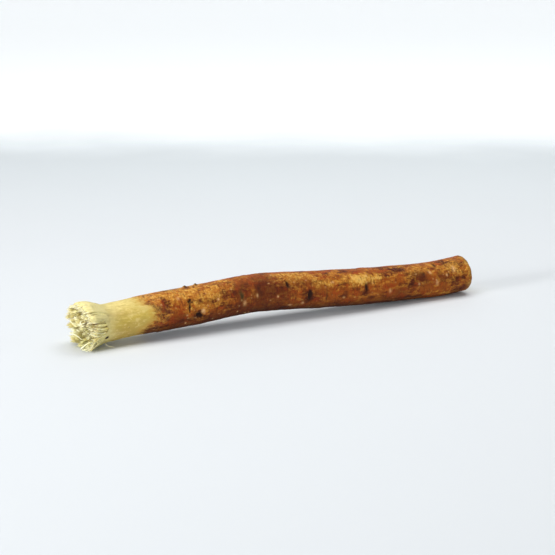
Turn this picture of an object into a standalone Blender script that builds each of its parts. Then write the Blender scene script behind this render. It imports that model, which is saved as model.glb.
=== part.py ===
"""A miswak stick: a cut length of root, peeled at one end and chewed there into a brush.

It lies along X on the surface z = 0, with the brush at -X and the cut butt at +X. Its two ends
touch the surface and its middle arches clear of it. The shape is worked out in millimetres and
turned into metres when the mesh is made. Angles around the stick are in degrees, with 0 at the
top and 90 at the side that faces -Y.
"""
import math

import bmesh
import bpy
from mathutils import Vector, noise

MM = 0.001

# Ends of the stick, along X
BUTT_X = 68.2
NECK_X = -58.5
NECK_RADIUS = 5.6
BARK_EDGE_X = -43.0

# The mesh: sides around the stick and the longest step between two rings
SIDES = 36
RING_STEP = 1.6

# Middle of the stick: x, then y and z
COURSE = [
    (-68.0, -0.35, 6.15),
    (-60.0, -0.3, 6.35),
    (-50.0, -0.25, 7.15),
    (-40.0, -0.2, 7.65),
    (-28.0, -0.05, 8.15),
    (-14.0, 0.0, 9.15),
    (-3.0, -0.15, 8.95),
    (12.0, -0.5, 7.8),
    (28.0, -0.75, 6.85),
    (42.0, -0.65, 6.2),
    (54.0, -0.2, 5.78),
    (60.0, 0.0, 5.8),
    (68.2, 0.3, 6.35),
]

# Radius of the peeled wood and of the bark: x, then radius
WOOD_RADIUS = [(-68.0, 5.6), (-57.0, 5.6), (-52.0, 5.55), (-46.0, 5.66), (-40.0, 5.64), (-36.0, 5.6)]
BARK_RADIUS = [
    (-46.0, 5.95),
    (-40.0, 5.9),
    (-30.0, 5.9),
    (-20.0, 5.82),
    (-10.0, 5.84),
    (10.0, 5.8),
    (30.0, 5.74),
    (44.0, 5.66),
    (50.0, 5.58),
    (58.0, 5.76),
    (68.2, 5.85),
]

# Where the ragged bark edge runs: angle, then x
BARK_EDGE = [
    (0, -43.4),
    (32, -43.0),
    (56, -41.9),
    (85, -39.8),
    (101, -41.1),
    (121, -43.3),
    (142, -43.4),
    (180, -42.4),
    (215, -40.9),
    (250, -43.6),
    (290, -44.6),
    (330, -43.9),
]
EDGE_RAGGEDNESS = 0.7
BARK_LEDGE_LENGTH = 0.35

# Sunken places in the bark: x, angle, half length, half width and depth
PITS = [
    (-31.0, 104, 1.3, 0.8, 0.55),
    (-33.6, 60, 0.5, 1.0, 0.35),
    (-16.5, 77, 0.7, 1.4, 0.25),
    (-0.7, 58, 0.7, 1.4, 0.45),
    (6.7, 94, 1.0, 2.0, 0.5),
    (12.6, 100, 0.45, 2.4, 0.3),
    (26.8, 80, 0.9, 1.5, 0.45),
    (49.1, 53, 0.6, 0.9, 0.3),
    (54.7, 23, 0.7, 1.6, 0.3),
    (-20.5, 225, 0.8, 1.6, 0.35),
    (9.5, 250, 0.9, 1.8, 0.4),
    (33.0, 205, 0.7, 1.4, 0.35),
    (40.5, 300, 0.9, 1.7, 0.4),
]

# Raised places: x, angle, half length, half width and height
WARTS = [
    (-32.7, 0, 0.7, 0.7, 0.4),
    (-29.0, 355, 0.6, 0.6, 0.4),
    (-35.2, 66, 1.2, 1.4, 0.2),
    (-33.3, 100, 1.0, 1.3, 0.25),
    (-4.2, 92, 1.3, 1.8, 0.18),
    (3.6, 92, 1.2, 2.0, 0.22),
    (24.2, 62, 2.2, 1.6, 0.2),
    (-12.0, 285, 1.6, 2.0, 0.3),
    (17.5, 220, 1.5, 1.8, 0.25),
    (29.0, 330, 1.8, 1.6, 0.25),
]

# Height of the broad lumps and of the fine unevenness
LUMP = 0.13
ROUGHNESS = 0.06

# The cut butt: its rounded rim and how far its face leans, with its lower edge further out
RIM_RADIUS = 1.3
BUTT_LEAN_DEG = 3.5
BUTT_LEAN_FROM_X = 56.0
FACE_RINGS = (0.6, 0.25)
PITH_DEPTH = 0.25

# The worn flat under the butt end, which rests on the surface
FLAT_FROM_X = 49.5
FLAT_TO_X = 62.5
FLAT_BAND = 0.38

# Clumps of the brush: first and last angle, then x of the tips
CLUMPS = [
    (-20, 40, -67.6),
    (40, 80, -66.8),
    (80, 120, -65.6),
    (120, 160, -66.0),
    (160, 200, -67.6),
    (200, 260, -68.2),
    (260, 300, -68.2),
    (300, 340, -68.0),
]

# How far the outer tips spread from the middle of the brush: angle, then distance
REACH = [(10, 8.3), (60, 8.0), (98, 7.5), (138, 9.2), (180, 7.7), (230, 8.1), (280, 7.9), (320, 8.1)]

# Locks of the brush: the rings that they stand in, as outer radius and sides of each lock
LOCK_RINGS = [(1.0, 1), (0.72, 2), (0.43, 4)]
LOCK_CORE = 0.17
LOCK_GAP = 0.07
LOCK_STATIONS = [(0.25, 0.92), (0.62, 0.84), (1.0, 0.5)]
SPREAD = [(0.0, 0.0), (0.2, 0.42), (0.5, 0.9), (1.0, 1.0)]
CLUMPING = 0.12
LENGTH_JITTER = 0.7
SPLIT_JITTER = 0.5
DISH_DEPTH = 0.9
BRUSH_PRESS = 0.7


def smooth(points, x):
    """Read a smooth curve through points, given as (x, value), at x."""
    if x <= points[0][0]:
        return points[0][1]
    for left, right in zip(points, points[1:]):
        if x <= right[0]:
            break
    else:
        return points[-1][1]
    step = right[0] - left[0]
    slope = [tangent(points, left), tangent(points, right)]
    t = (x - left[0]) / step
    rise = (1 + 2 * t) * (1 - t) ** 2 * left[1] + t * t * (3 - 2 * t) * right[1]
    return rise + step * (t * (1 - t) ** 2 * slope[0] - t * t * (1 - t) * slope[1])


def tangent(points, point):
    """Slope of the smooth curve at one of its points."""
    place = points.index(point)
    before = points[max(place - 1, 0)]
    after = points[min(place + 1, len(points) - 1)]
    return (after[1] - before[1]) / (after[0] - before[0])


def blend(low, high, value):
    """Rise smoothly from 0 at low to 1 at high."""
    t = min(max((value - low) / (high - low), 0.0), 1.0)
    return t * t * (3 - 2 * t)


def turn_between(angle, other):
    """Signed angle from other to angle, in degrees, between -180 and 180."""
    return (angle - other + 180.0) % 360.0 - 180.0


def middle(x):
    """Middle of the stick at x, as y and z."""
    return (
        smooth([(p[0], p[1]) for p in COURSE], x),
        smooth([(p[0], p[2]) for p in COURSE], x),
    )


def noise_at(x, angle, length, seed):
    """Smooth noise on the stick's skin, with bumps about length long along X."""
    turn = math.radians(angle)
    radius = 5.7 / length
    return noise.noise(Vector((x / length + seed, radius * math.sin(turn), radius * math.cos(turn))))


def around(points, angle):
    """Read a smooth closed curve through points, given as (angle, value), at an angle."""
    ring = [(p[0] - 360, p[1]) for p in points[-2:]] + points + [(p[0] + 360, p[1]) for p in points[:2]]
    return smooth(ring, angle % 360.0)


def edge_x(angle):
    """Where the bark ends on the peeled side, with its raggedness."""
    ragged = noise_at(0.0, angle, 1.6, 20.0) + 0.5 * noise_at(0.0, angle, 0.8, 40.0)
    return around(BARK_EDGE, angle) + EDGE_RAGGEDNESS * ragged


def skin_x(ring_x, angle):
    """Lean a ring's points towards the bark edge near it, so that the ledge follows the edge."""
    pull = blend(NECK_X + 1.0, BARK_EDGE_X, ring_x) * (1 - blend(BARK_EDGE_X, -27.0, ring_x))
    return ring_x + (edge_x(angle) - BARK_EDGE_X) * pull


def marks(places, x, angle):
    """Sum of the sunken or raised places at a point of the skin."""
    total = 0.0
    for place_x, place_angle, half_length, half_width, height in places:
        along = (x - place_x) / half_length
        across = math.radians(turn_between(angle, place_angle)) * 5.7 / half_width
        total += height * math.exp(-1.4 * (along * along + across * across))
    return total


def skin_radius(ring_x, angle):
    """Radius of the stick at a ring and angle, bark or peeled wood."""
    x = skin_x(ring_x, angle)
    bark = blend(BARK_EDGE_X - BARK_LEDGE_LENGTH, BARK_EDGE_X, ring_x)
    radius = smooth(WOOD_RADIUS, x) * (1 - bark) + smooth(BARK_RADIUS, x) * bark
    radius *= 1 + 0.012 * math.cos(math.radians(2 * angle) + 0.03 * x)
    uneven = LUMP * noise_at(x, angle, 7.0, 3.0) + ROUGHNESS * noise_at(x, angle, 2.2, 9.0)
    return radius + uneven * (0.4 + 0.6 * bark) + (marks(WARTS, x, angle) - marks(PITS, x, angle)) * bark


def butt_lean(x, height):
    """How far the leaning cut moves a point at x along X, by its height over the middle."""
    lean = math.tan(math.radians(BUTT_LEAN_DEG))
    return -lean * (height + 5.8) * blend(BUTT_LEAN_FROM_X, BUTT_X - RIM_RADIUS, x)


def settle(x, height):
    """Lay what is lowest on the worn flat on the surface, and lift nothing else."""
    if FLAT_FROM_X < x < FLAT_TO_X and height < FLAT_BAND:
        return 0.0
    return max(height, 0.0)


def skin_point(x, radius, angle):
    """Point of the skin at a radius and angle around the middle."""
    y, z = middle(x)
    turn = math.radians(angle)
    up = radius * math.cos(turn)
    return Vector((x + butt_lean(x, up), y - radius * math.sin(turn), settle(x, z + up)))


def ring_places():
    """X of every ring from the neck to the rim, closer together at the ledge and the marks."""
    wanted = [NECK_X, BARK_EDGE_X - BARK_LEDGE_LENGTH, BARK_EDGE_X, BUTT_X - RIM_RADIUS]
    wanted += [FLAT_FROM_X + 0.1, FLAT_TO_X - 0.1]
    wanted += [place[0] for place in PITS]
    wanted = sorted(wanted)
    places = [wanted[0]]
    for target in wanted[1:]:
        gap = target - places[-1]
        if gap < BARK_LEDGE_LENGTH * 0.9:
            continue
        steps = max(1, math.ceil(gap / RING_STEP))
        start = places[-1]
        places += [start + gap * (k + 1) / steps for k in range(steps)]
    return places


def add_ring(mesh, x, radius_at):
    """Add one ring of points around the stick."""
    angles = [360.0 * k / SIDES for k in range(SIDES)]
    return [mesh.verts.new(skin_point(skin_x(x, a), radius_at(a), a)) for a in angles]


def bridge(mesh, ring, other, slot):
    """Join two rings with a band of faces."""
    for k in range(SIDES):
        after = (k + 1) % SIDES
        face = mesh.faces.new((ring[k], ring[after], other[after], other[k]))
        face.material_index = slot


def build_body(mesh):
    """Build the skin from the neck to the rim of the butt, and return its two end rings."""
    rings = []
    for x in ring_places():
        rings.append(add_ring(mesh, x, lambda angle: skin_radius(x, angle)))
        if len(rings) > 1:
            bridge(mesh, rings[-2], rings[-1], 0 if x > BARK_EDGE_X - 0.1 else 1)
    return rings[0], rings[-1]


def build_butt(mesh, last):
    """Round the rim of the cut and close its face."""
    start_x = BUTT_X - RIM_RADIUS
    for k in (1, 2, 3):
        turn = math.radians(30 * k)
        shrink = RIM_RADIUS * (1 - math.cos(turn))
        x = start_x + RIM_RADIUS * math.sin(turn)
        ring = add_ring(mesh, x, lambda angle: skin_radius(start_x, angle) - shrink)
        bridge(mesh, last, ring, 0)
        last = ring
    for part in FACE_RINGS:
        sunk = PITH_DEPTH * (1 - part) ** 2
        radius = (BARK_RADIUS[-1][1] - RIM_RADIUS) * part
        ring = add_ring(mesh, BUTT_X - sunk, lambda angle: radius * (1 + 0.05 * noise_at(0, angle, 3, 5)))
        bridge(mesh, last, ring, 1)
        last = ring
    centre = mesh.verts.new(skin_point(BUTT_X - PITH_DEPTH, 0.0, 0.0))
    for k in range(SIDES):
        face = mesh.faces.new((last[k], last[(k + 1) % SIDES], centre))
        face.material_index = 1


def brush_point(x, radius, angle):
    """Point of the brush at a radius and angle around the middle."""
    y, z = middle(x)
    turn = math.radians(angle)
    return Vector((x, y - radius * math.sin(turn), z + radius * math.cos(turn)))


def build_cells(mesh, neck):
    """Divide the end of the neck into cells, one for each lock of the brush."""
    cells = []
    outer = neck
    for place, (part, sides) in enumerate(LOCK_RINGS):
        count = SIDES // sides
        inner_part = LOCK_RINGS[place + 1][0] if place + 1 < len(LOCK_RINGS) else LOCK_CORE
        span = 360.0 / count
        inner = []
        for k in range(count):
            swing = span * (k + 0.12 * noise.noise(Vector((k * 1.7, place * 3.1, 0.5))))
            spot = brush_point(NECK_X, NECK_RADIUS * inner_part, swing)
            spot.x += SPLIT_JITTER * noise_at(0.0, swing, 2.0, 60.0) * (1 - inner_part)
            inner.append(mesh.verts.new(spot))
        share = len(outer) // count
        for k in range(count):
            edge = [outer[(k * share + j) % len(outer)] for j in range(share + 1)]
            cells.append(mesh.faces.new([inner[k], inner[(k + 1) % count]] + edge[::-1]))
        outer = inner
    cells.append(mesh.faces.new(outer[::-1]))
    mesh.normal_update()
    return cells


def clump_of(angle):
    """The clump of the brush that an angle lies in."""
    for clump in CLUMPS:
        if 0 <= (angle - clump[0]) % 360.0 < clump[1] - clump[0]:
            return clump
    return CLUMPS[0]


def polar(point, y, z):
    """Radius and angle of a point around the middle at y and z."""
    across, up = y - point.y, point.z - z
    return math.hypot(across, up), math.degrees(math.atan2(across, up))


def spread_point(base, clump, t, x):
    """Where a point of a lock's root goes at t of its length: outwards, and into its clump."""
    radius, angle = polar(base, *middle(NECK_X))
    y, z = middle(x)
    reach = NECK_RADIUS + (around(REACH, angle) - NECK_RADIUS) * smooth(SPREAD, t)
    down = -math.cos(math.radians(angle))
    if down > 0.3:
        reach = min(reach, (z + BRUSH_PRESS) / down)
    point = brush_point(x, radius * reach / NECK_RADIUS, angle)
    if clump is None:
        return point
    heart = brush_point(x, 0.7 * reach, (clump[0] + clump[1]) / 2)
    return point.lerp(heart, CLUMPING * t)


def grow_lock(mesh, cell, number):
    """Draw one cell out into a lock that tapers and spreads with its clump."""
    bmesh.ops.inset_individual(mesh, faces=[cell], thickness=LOCK_GAP, use_even_offset=True)
    bases = [vert.co.copy() for vert in cell.verts]
    radius, angle = polar(sum(bases, Vector()) / len(bases), *middle(NECK_X))
    clump = clump_of(angle)
    jitter = LENGTH_JITTER * abs(noise.noise(Vector((number * 2.3, 0.7, 1.9))))
    dish = DISH_DEPTH * (1 - min(radius / 4.7, 1.0)) ** 2
    tip_x = clump[2] + jitter + dish
    pulled = clump if radius > LOCK_RINGS[2][0] * NECK_RADIUS else None
    for t, taper in LOCK_STATIONS:
        cell = bmesh.ops.extrude_discrete_faces(mesh, faces=[cell])["faces"][0]
        x = NECK_X + (tip_x - NECK_X) * t
        spots = [spread_point(base, pulled, t, x) for base in bases]
        core = sum(spots, Vector()) / len(spots)
        for vert, spot in zip(cell.verts, spots):
            vert.co = core.lerp(spot, taper)
            vert.co.z = max(vert.co.z, 0.0)


def build_brush(mesh, neck):
    """Build the brush: the cells of the split end, each drawn out into a lock."""
    for number, cell in enumerate(build_cells(mesh, neck)):
        known = set(mesh.faces)
        cell.material_index = 2
        grow_lock(mesh, cell, number)
        for face in set(mesh.faces) - known:
            face.material_index = 2


def make_material(name, colour, roughness):
    """Make a plain material with a colour and a roughness."""
    material = bpy.data.materials.new(name)
    material.use_nodes = True
    shader = material.node_tree.nodes["Principled BSDF"]
    shader.inputs["Base Color"].default_value = (*colour, 1.0)
    shader.inputs["Roughness"].default_value = roughness
    shader.inputs["Metallic"].default_value = 0.0
    return material


def build_stick():
    """Build the whole stick as one closed solid."""
    mesh = bmesh.new()
    neck, rim = build_body(mesh)
    build_butt(mesh, rim)
    build_brush(mesh, neck)
    bmesh.ops.recalc_face_normals(mesh, faces=mesh.faces)
    bmesh.ops.scale(mesh, vec=Vector((MM, MM, MM)), verts=mesh.verts)
    data = bpy.data.meshes.new("miswak_stick")
    mesh.to_mesh(data)
    mesh.free()
    data.shade_smooth()
    data.set_sharp_from_angle(angle=math.radians(40))
    stick = bpy.data.objects.new("miswak_stick", data)
    data.materials.append(make_material("bark", (0.27, 0.105, 0.028), 0.6))
    data.materials.append(make_material("peeled_wood", (0.58, 0.46, 0.16), 0.6))
    data.materials.append(make_material("brush_fibre", (0.68, 0.63, 0.34), 0.75))
    bpy.context.scene.collection.objects.link(stick)
    return stick


for old in list(bpy.data.objects):
    bpy.data.objects.remove(old, do_unlink=True)

build_stick()
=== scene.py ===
"""Looks of a miswak stick: brown bark, a peeled neck and a brush of split, chewed fibres.

Sizes are in millimetres unless a name says otherwise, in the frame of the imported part: x runs
along the stick, from the brush at -x to the cut butt at +x. Angles are in degrees around the
stick, with 0 at the top and 90 at the side that faces -y.
"""
import logging
import math
from dataclasses import dataclass
from enum import Enum
from typing import Sequence

import bmesh
import bpy
import numpy as np
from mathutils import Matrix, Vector, noise


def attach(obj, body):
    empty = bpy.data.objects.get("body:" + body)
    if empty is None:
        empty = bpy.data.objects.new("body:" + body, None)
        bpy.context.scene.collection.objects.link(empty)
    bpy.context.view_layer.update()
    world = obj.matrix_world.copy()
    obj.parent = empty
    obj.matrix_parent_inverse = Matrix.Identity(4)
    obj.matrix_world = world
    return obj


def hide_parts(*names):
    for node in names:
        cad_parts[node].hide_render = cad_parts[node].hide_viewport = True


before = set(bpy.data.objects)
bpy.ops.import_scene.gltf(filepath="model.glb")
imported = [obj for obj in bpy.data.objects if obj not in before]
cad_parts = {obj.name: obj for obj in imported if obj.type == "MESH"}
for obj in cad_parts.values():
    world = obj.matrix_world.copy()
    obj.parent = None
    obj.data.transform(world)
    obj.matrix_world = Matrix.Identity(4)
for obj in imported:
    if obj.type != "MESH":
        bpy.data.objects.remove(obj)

MM = 0.001
SKIN_RADIUS = 5.7
MARK_RAGGEDNESS = 0.7
MARK_FALL_OFF = 1.4
BODY = "root"
STICK_NODE = "miswak_stick"
Colour = tuple[float, float, float]
Place = tuple[float, float, float]
Range = tuple[float, float]
Socket = bpy.types.NodeSocket

log = logging.getLogger("miswak")


class Slot(Enum):
    """The record's material slots."""

    BARK = "bark"
    WOOD = "peeled_wood"
    FIBRE = "brush_fibre"


class Tint(Enum):
    """What a patch of the bark is coloured with. The value names the mesh attribute."""

    GOLD = "gold"
    DARK = "dark"
    PALE = "pale"
    MOSS = "moss"
    DIM = "dim"


def srgb(red: int, green: int, blue: int) -> Colour:
    """Turn a colour as a screen shows it, 0 to 255, into linear light."""
    parts = [value / 255.0 for value in (red, green, blue)]
    return tuple(p / 12.92 if p <= 0.04045 else ((p + 0.055) / 1.055) ** 2.4 for p in parts)


def blend(low: float, high: float, value: np.ndarray) -> np.ndarray:
    """Rise smoothly from 0 at low to 1 at high."""
    share = np.clip((value - low) / (high - low), 0.0, 1.0)
    return share * share * (3 - 2 * share)


def soft_least(value: np.ndarray, limit: np.ndarray | float, softness: float) -> np.ndarray:
    """Follow a value up to a limit, and bend smoothly below the limit near it."""
    return limit - softness * np.logaddexp(0.0, (limit - value) / softness)


def rows_of(kind: type, *rows: tuple) -> tuple:
    """Make one object of a kind from each row of its values."""
    return tuple(kind(*row) for row in rows)


@dataclass(frozen=True)
class SmoothCurve:
    """A smooth curve through given points, which may close on itself."""

    points: tuple[Range, ...]
    period: float = 0.0

    def at(self, place: np.ndarray) -> np.ndarray:
        """Read the curve.

        Args:
            place: Where to read it, any shape.

        Returns:
            The curve's values, in the same shape.
        """
        places, values = np.array(self.points, float).T
        if self.period:
            place = np.mod(place, self.period)
            places = np.concatenate([places[-2:] - self.period, places, places[:2] + self.period])
            values = np.concatenate([values[-2:], values, values[:2]])
        place = np.clip(place, places[0], places[-1])
        after = np.minimum(np.arange(len(places)) + 1, len(places) - 1)
        before = np.maximum(np.arange(len(places)) - 1, 0)
        slopes = (values[after] - values[before]) / (places[after] - places[before])
        left = np.clip(np.searchsorted(places, place, side="left") - 1, 0, len(places) - 2)
        step = places[left + 1] - places[left]
        t = (place - places[left]) / step
        value = (1 + 2 * t) * (1 - t) ** 2 * values[left] + t * t * (3 - 2 * t) * values[left + 1]
        lean = t * (1 - t) ** 2 * slopes[left] - t * t * (1 - t) * slopes[left + 1]
        return value + step * lean


def curve_through(*points: Range) -> SmoothCurve:
    """Make an open curve through points, each a place and a value."""
    return SmoothCurve(points)


def curve_round(*points: Range) -> SmoothCurve:
    """Make a curve that closes on itself after a full turn, through points of angle and value."""
    return SmoothCurve(points, 360.0)


def noise_on_skin(
    x: np.ndarray, angle: np.ndarray, length: float, seed: float, width: float = 0.0
) -> np.ndarray:
    """Smooth noise on the stick's skin.

    Args:
        x: Places along the stick.
        angle: Angles around it, in the same shape.
        length: Size of a bump along the stick.
        seed: Shifts the pattern.
        width: Size of a bump around the stick, or 0 for the same as length.

    Returns:
        Values between about -1 and 1, in the same shape.
    """
    reach = SKIN_RADIUS / (width or length)
    turn = np.radians(angle)
    spots = np.stack([x / length + seed, reach * np.sin(turn), reach * np.cos(turn)], axis=-1)
    flat = [noise.noise(spot) for spot in spots.reshape(-1, 3).tolist()]
    return np.array(flat).reshape(x.shape)


@dataclass(frozen=True)
class Mark:
    """A small place on the skin: sunken, raised or only coloured."""

    x: float
    angle: float
    half_length: float
    half_width: float
    strength: float

    def over(self, x: np.ndarray, angle: np.ndarray, ragged: np.ndarray, sharpness: float) -> np.ndarray:
        """How strongly the mark holds at points of the skin.

        Args:
            x: Places along the stick.
            angle: Angles around it.
            ragged: Noise that makes the mark's outline uneven, 0 for none.
            sharpness: 1 for a soft bump, more for a flat floor and steep sides.

        Returns:
            The mark's strength at each point.
        """
        across = (angle - self.angle + 180.0) % 360.0 - 180.0
        across = np.radians(across) * SKIN_RADIUS / self.half_width
        away = ((x - self.x) / self.half_length) ** 2 + across**2
        away = away * (1 + MARK_RAGGEDNESS * ragged)
        return self.strength * np.exp(-MARK_FALL_OFF * np.maximum(away, 0.0) ** sharpness)


@dataclass(frozen=True)
class StickForm:
    """The stick's course, radii and bark edge, as the solid has them.

    Side and height are the course of its middle. The rings lean with the bark's edge as far as
    even_from_x. The brush spreads from neck_x to tip_x, out to its reach, and starts later near
    late_angle. Underneath it is cut off where it would press deeper into the surface than press.
    """

    butt_x: float = 68.2
    neck_x: float = -58.5
    neck_radius: float = 5.6
    bark_edge_x: float = -43.0
    even_from_x: float = -27.0
    edge_raggedness: float = 0.7
    lump: float = 0.13
    roughness: float = 0.06
    ovalness: float = 0.012
    # Painted shade on the underside: how dark it gets, and the angles where it comes and goes.
    darkest_painted_shade: float = 0.85
    painted_shade_from: Range = (98.0, 150.0)
    painted_shade_to: Range = (206.0, 262.0)
    butt_lean_deg: float = 3.5
    butt_lean_from_x: float = 56.0
    butt_lean_pivot: float = 5.8
    rim_radius: float = 1.3
    side: SmoothCurve = curve_through(
        (-68, -0.35), (-60, -0.3), (-50, -0.25), (-40, -0.2), (-28, -0.05), (-14, 0), (-3, -0.15),
        (12, -0.5), (28, -0.75), (42, -0.65), (54, -0.2), (60, 0), (68.2, 0.3),
    )
    height: SmoothCurve = curve_through(
        (-68, 6.15), (-60, 6.35), (-50, 7.15), (-40, 7.65), (-28, 8.15), (-14, 9.15), (-3, 8.95), (12, 7.8),
        (28, 6.85), (42, 6.2), (54, 5.78), (60, 5.8), (68.2, 6.35),
    )
    wood_radius: SmoothCurve = curve_through(
        (-68, 5.6), (-57, 5.6), (-52, 5.55), (-46, 5.66), (-40, 5.64), (-36, 5.6),
    )
    bark_radius: SmoothCurve = curve_through(
        (-46, 5.95), (-40, 5.9), (-30, 5.9), (-20, 5.82), (-10, 5.84), (10, 5.8), (30, 5.74), (44, 5.66),
        (50, 5.58), (58, 5.76), (68.2, 5.85),
    )
    bark_edge: SmoothCurve = curve_round(
        (0, -43.4), (32, -43), (56, -41.9), (85, -39.8), (101, -41.1), (121, -43.3), (142, -43.4),
        (180, -42.4), (215, -40.9), (250, -43.6), (290, -44.6), (330, -43.9),
    )
    scraped_edge: SmoothCurve = curve_round(
        (15, -48.1), (41, -47.2), (54, -45.5), (72, -44.6), (90, -44.7), (101, -45.6), (108, -46.8),
        (128, -48.6), (165, -47.6), (210, -45.8), (250, -47.2), (290, -48.6), (340, -49),
    )
    tip_x: SmoothCurve = curve_round(
        (0, -67), (30, -67.5), (60, -67.2), (100, -65.8), (140, -66.2), (180, -67.4), (230, -67.6),
        (280, -68.4), (312, -68.2), (335, -67),
    )
    reach: SmoothCurve = curve_round(
        (0, 7.25), (30, 7.6), (60, 8), (98, 7.15), (138, 8.7), (180, 7.6), (220, 7.5), (244, 7), (280, 7.8),
        (312, 8.1), (335, 7.45),
    )
    full_spread: SmoothCurve = curve_through(
        (0, 0), (0.12, 0.05), (0.3, 0.42), (0.6, 1), (0.85, 0.95), (1, 0.82),
    )
    late_spread: SmoothCurve = curve_through(
        (0, 0), (0.3, 0.08), (0.45, 0.2), (0.65, 0.42), (0.87, 0.74), (1, 1),
    )
    late_angle: float = 136.0
    late_width: float = 42.0
    press: float = 0.5

    def flare(self, x: np.ndarray, angle: np.ndarray) -> np.ndarray:
        """Radius of the brush's outer side, which the neck swells into.

        Args:
            x: Places along the stick.
            angle: Angles around it.

        Returns:
            The radius at each point, no lower than the surface that the stick lies on.
        """
        grown = np.clip((x - self.neck_x) / (self.tip_x.at(angle) - self.neck_x), 0.0, 1.1)
        turn = (angle - self.late_angle + 180.0) % 360.0 - 180.0
        late = np.exp(-((turn / self.late_width) ** 2))
        spread = self.full_spread.at(grown) * (1 - late) + self.late_spread.at(grown) * late
        radius = self.neck_radius + (self.reach.at(angle) - self.neck_radius) * spread
        down = -np.cos(np.radians(angle))
        floor = (self.height.at(x) + self.press) / np.maximum(down, 0.3)
        return np.where(down > 0.3, np.minimum(radius, floor), radius)

    def edge_x(self, angle: np.ndarray) -> np.ndarray:
        """Where the bark ends on the peeled side, with its raggedness.

        Args:
            angle: Angles around the stick.

        Returns:
            A place along the stick for each angle.
        """
        ragged = noise_on_skin(np.zeros_like(angle), angle, 1.6, 20.0)
        ragged += 0.5 * noise_on_skin(np.zeros_like(angle), angle, 0.8, 40.0)
        return self.bark_edge.at(angle) + self.edge_raggedness * ragged

    def skin_x(self, ring_x: np.ndarray, angle: np.ndarray) -> np.ndarray:
        """Lean rings towards the bark edge near it, so that they follow the edge.

        Args:
            ring_x: Where the rings would stand upright.
            angle: Angles around the stick.

        Returns:
            Where their points stand along the stick.
        """
        pull = blend(self.neck_x + 1.0, self.bark_edge_x, ring_x)
        pull = pull * (1 - blend(self.bark_edge_x, self.even_from_x, ring_x))
        return ring_x + (self.edge_x(angle) - self.bark_edge_x) * pull

    def unevenness(self, x: np.ndarray, angle: np.ndarray) -> np.ndarray:
        """Broad lumps and fine unevenness of the skin."""
        lumps = self.lump * noise_on_skin(x, angle, 7.0, 3.0)
        return lumps + self.roughness * noise_on_skin(x, angle, 2.2, 9.0)

    def oval(self, x: np.ndarray, angle: np.ndarray) -> np.ndarray:
        """How the section departs from round."""
        return 1 + self.ovalness * np.cos(np.radians(2 * angle) + 0.03 * x)

    def painted_underside_shade(self, angle: np.ndarray) -> np.ndarray:
        """How much painted shade the stick's underside gets, by the angle around the stick."""
        return self.darkest_painted_shade * blend(*self.painted_shade_from, angle) * (1 - blend(*self.painted_shade_to, angle))

    def place(self, x: np.ndarray, radius: np.ndarray, angle: np.ndarray) -> np.ndarray:
        """Points at a radius and angle around the stick's middle.

        Args:
            x: Places along the stick.
            radius: Distances from the middle.
            angle: Angles around it.

        Returns:
            Points, with one more axis for x, y and z.
        """
        turn = np.radians(angle)
        up = radius * np.cos(turn)
        lean = math.tan(math.radians(self.butt_lean_deg))
        lean = -lean * (up + self.butt_lean_pivot)
        lean = lean * blend(self.butt_lean_from_x, self.butt_x - self.rim_radius, x)
        y = self.side.at(x) - radius * np.sin(turn)
        z = np.maximum(self.height.at(x) + up, 0.0)
        return np.stack([x + lean, y, z], axis=-1)


def make_mesh(
    name: str, points: np.ndarray, faces: Sequence[tuple[int, ...]], fields: dict[str, np.ndarray]
) -> bpy.types.Object:
    """Make a smooth mesh piece from points in millimetres.

    Args:
        name: The piece's name.
        points: One row for each point.
        faces: Point numbers of each face.
        fields: Values that the material reads at each point, by name.

    Returns:
        The piece, linked to the scene.
    """
    data = bpy.data.meshes.new(name)
    data.from_pydata((points * MM).tolist(), [], faces)
    data.update()
    for label, values in fields.items():
        layer = data.attributes.new(label, "FLOAT", "POINT")
        layer.data.foreach_set("value", np.asarray(values, np.float32).ravel())
    data.polygons.foreach_set("use_smooth", [len(face) == 4 for face in faces])
    piece = bpy.data.objects.new(name, data)
    bpy.context.scene.collection.objects.link(piece)
    return piece


def band_faces(rings: int, sides: int, closed: bool) -> list[tuple[int, int, int, int]]:
    """Faces between rings of points that follow each other.

    Args:
        rings: How many rings there are.
        sides: How many points each has.
        closed: Whether the last ring joins the first.

    Returns:
        Four point numbers for each face.
    """
    ring = np.arange(rings if closed else rings - 1)[:, None] * sides
    after = (ring + sides) % (rings * sides)
    side = np.arange(sides)[None, :]
    beside = (side + 1) % sides
    quads = np.stack([ring + side, after + side, after + beside, ring + beside], axis=-1)
    return [tuple(quad) for quad in quads.reshape(-1, 4).tolist()]


def tube_faces(count: int, stations: int, sides: int) -> list[tuple[int, ...]]:
    """Faces of closed tubes whose points follow each other.

    Args:
        count: How many tubes there are.
        stations: How many rings of points each has.
        sides: How many points a ring has.

    Returns:
        Point numbers of each face.
    """
    single = band_faces(stations, sides, False)
    single.append(tuple(range(sides)))
    single.append(tuple((stations - 1) * sides + corner for corner in reversed(range(sides))))
    size = stations * sides
    return [tuple(size * number + corner for corner in face) for number in range(count) for face in single]


def dress(piece: bpy.types.Object, material: bpy.types.Material) -> None:
    """Give a piece its material and say what it belongs to.

    Args:
        piece: The piece.
        material: Its material.
    """
    piece.data.materials.append(material)
    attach(piece, BODY)
    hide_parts(STICK_NODE)


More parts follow.
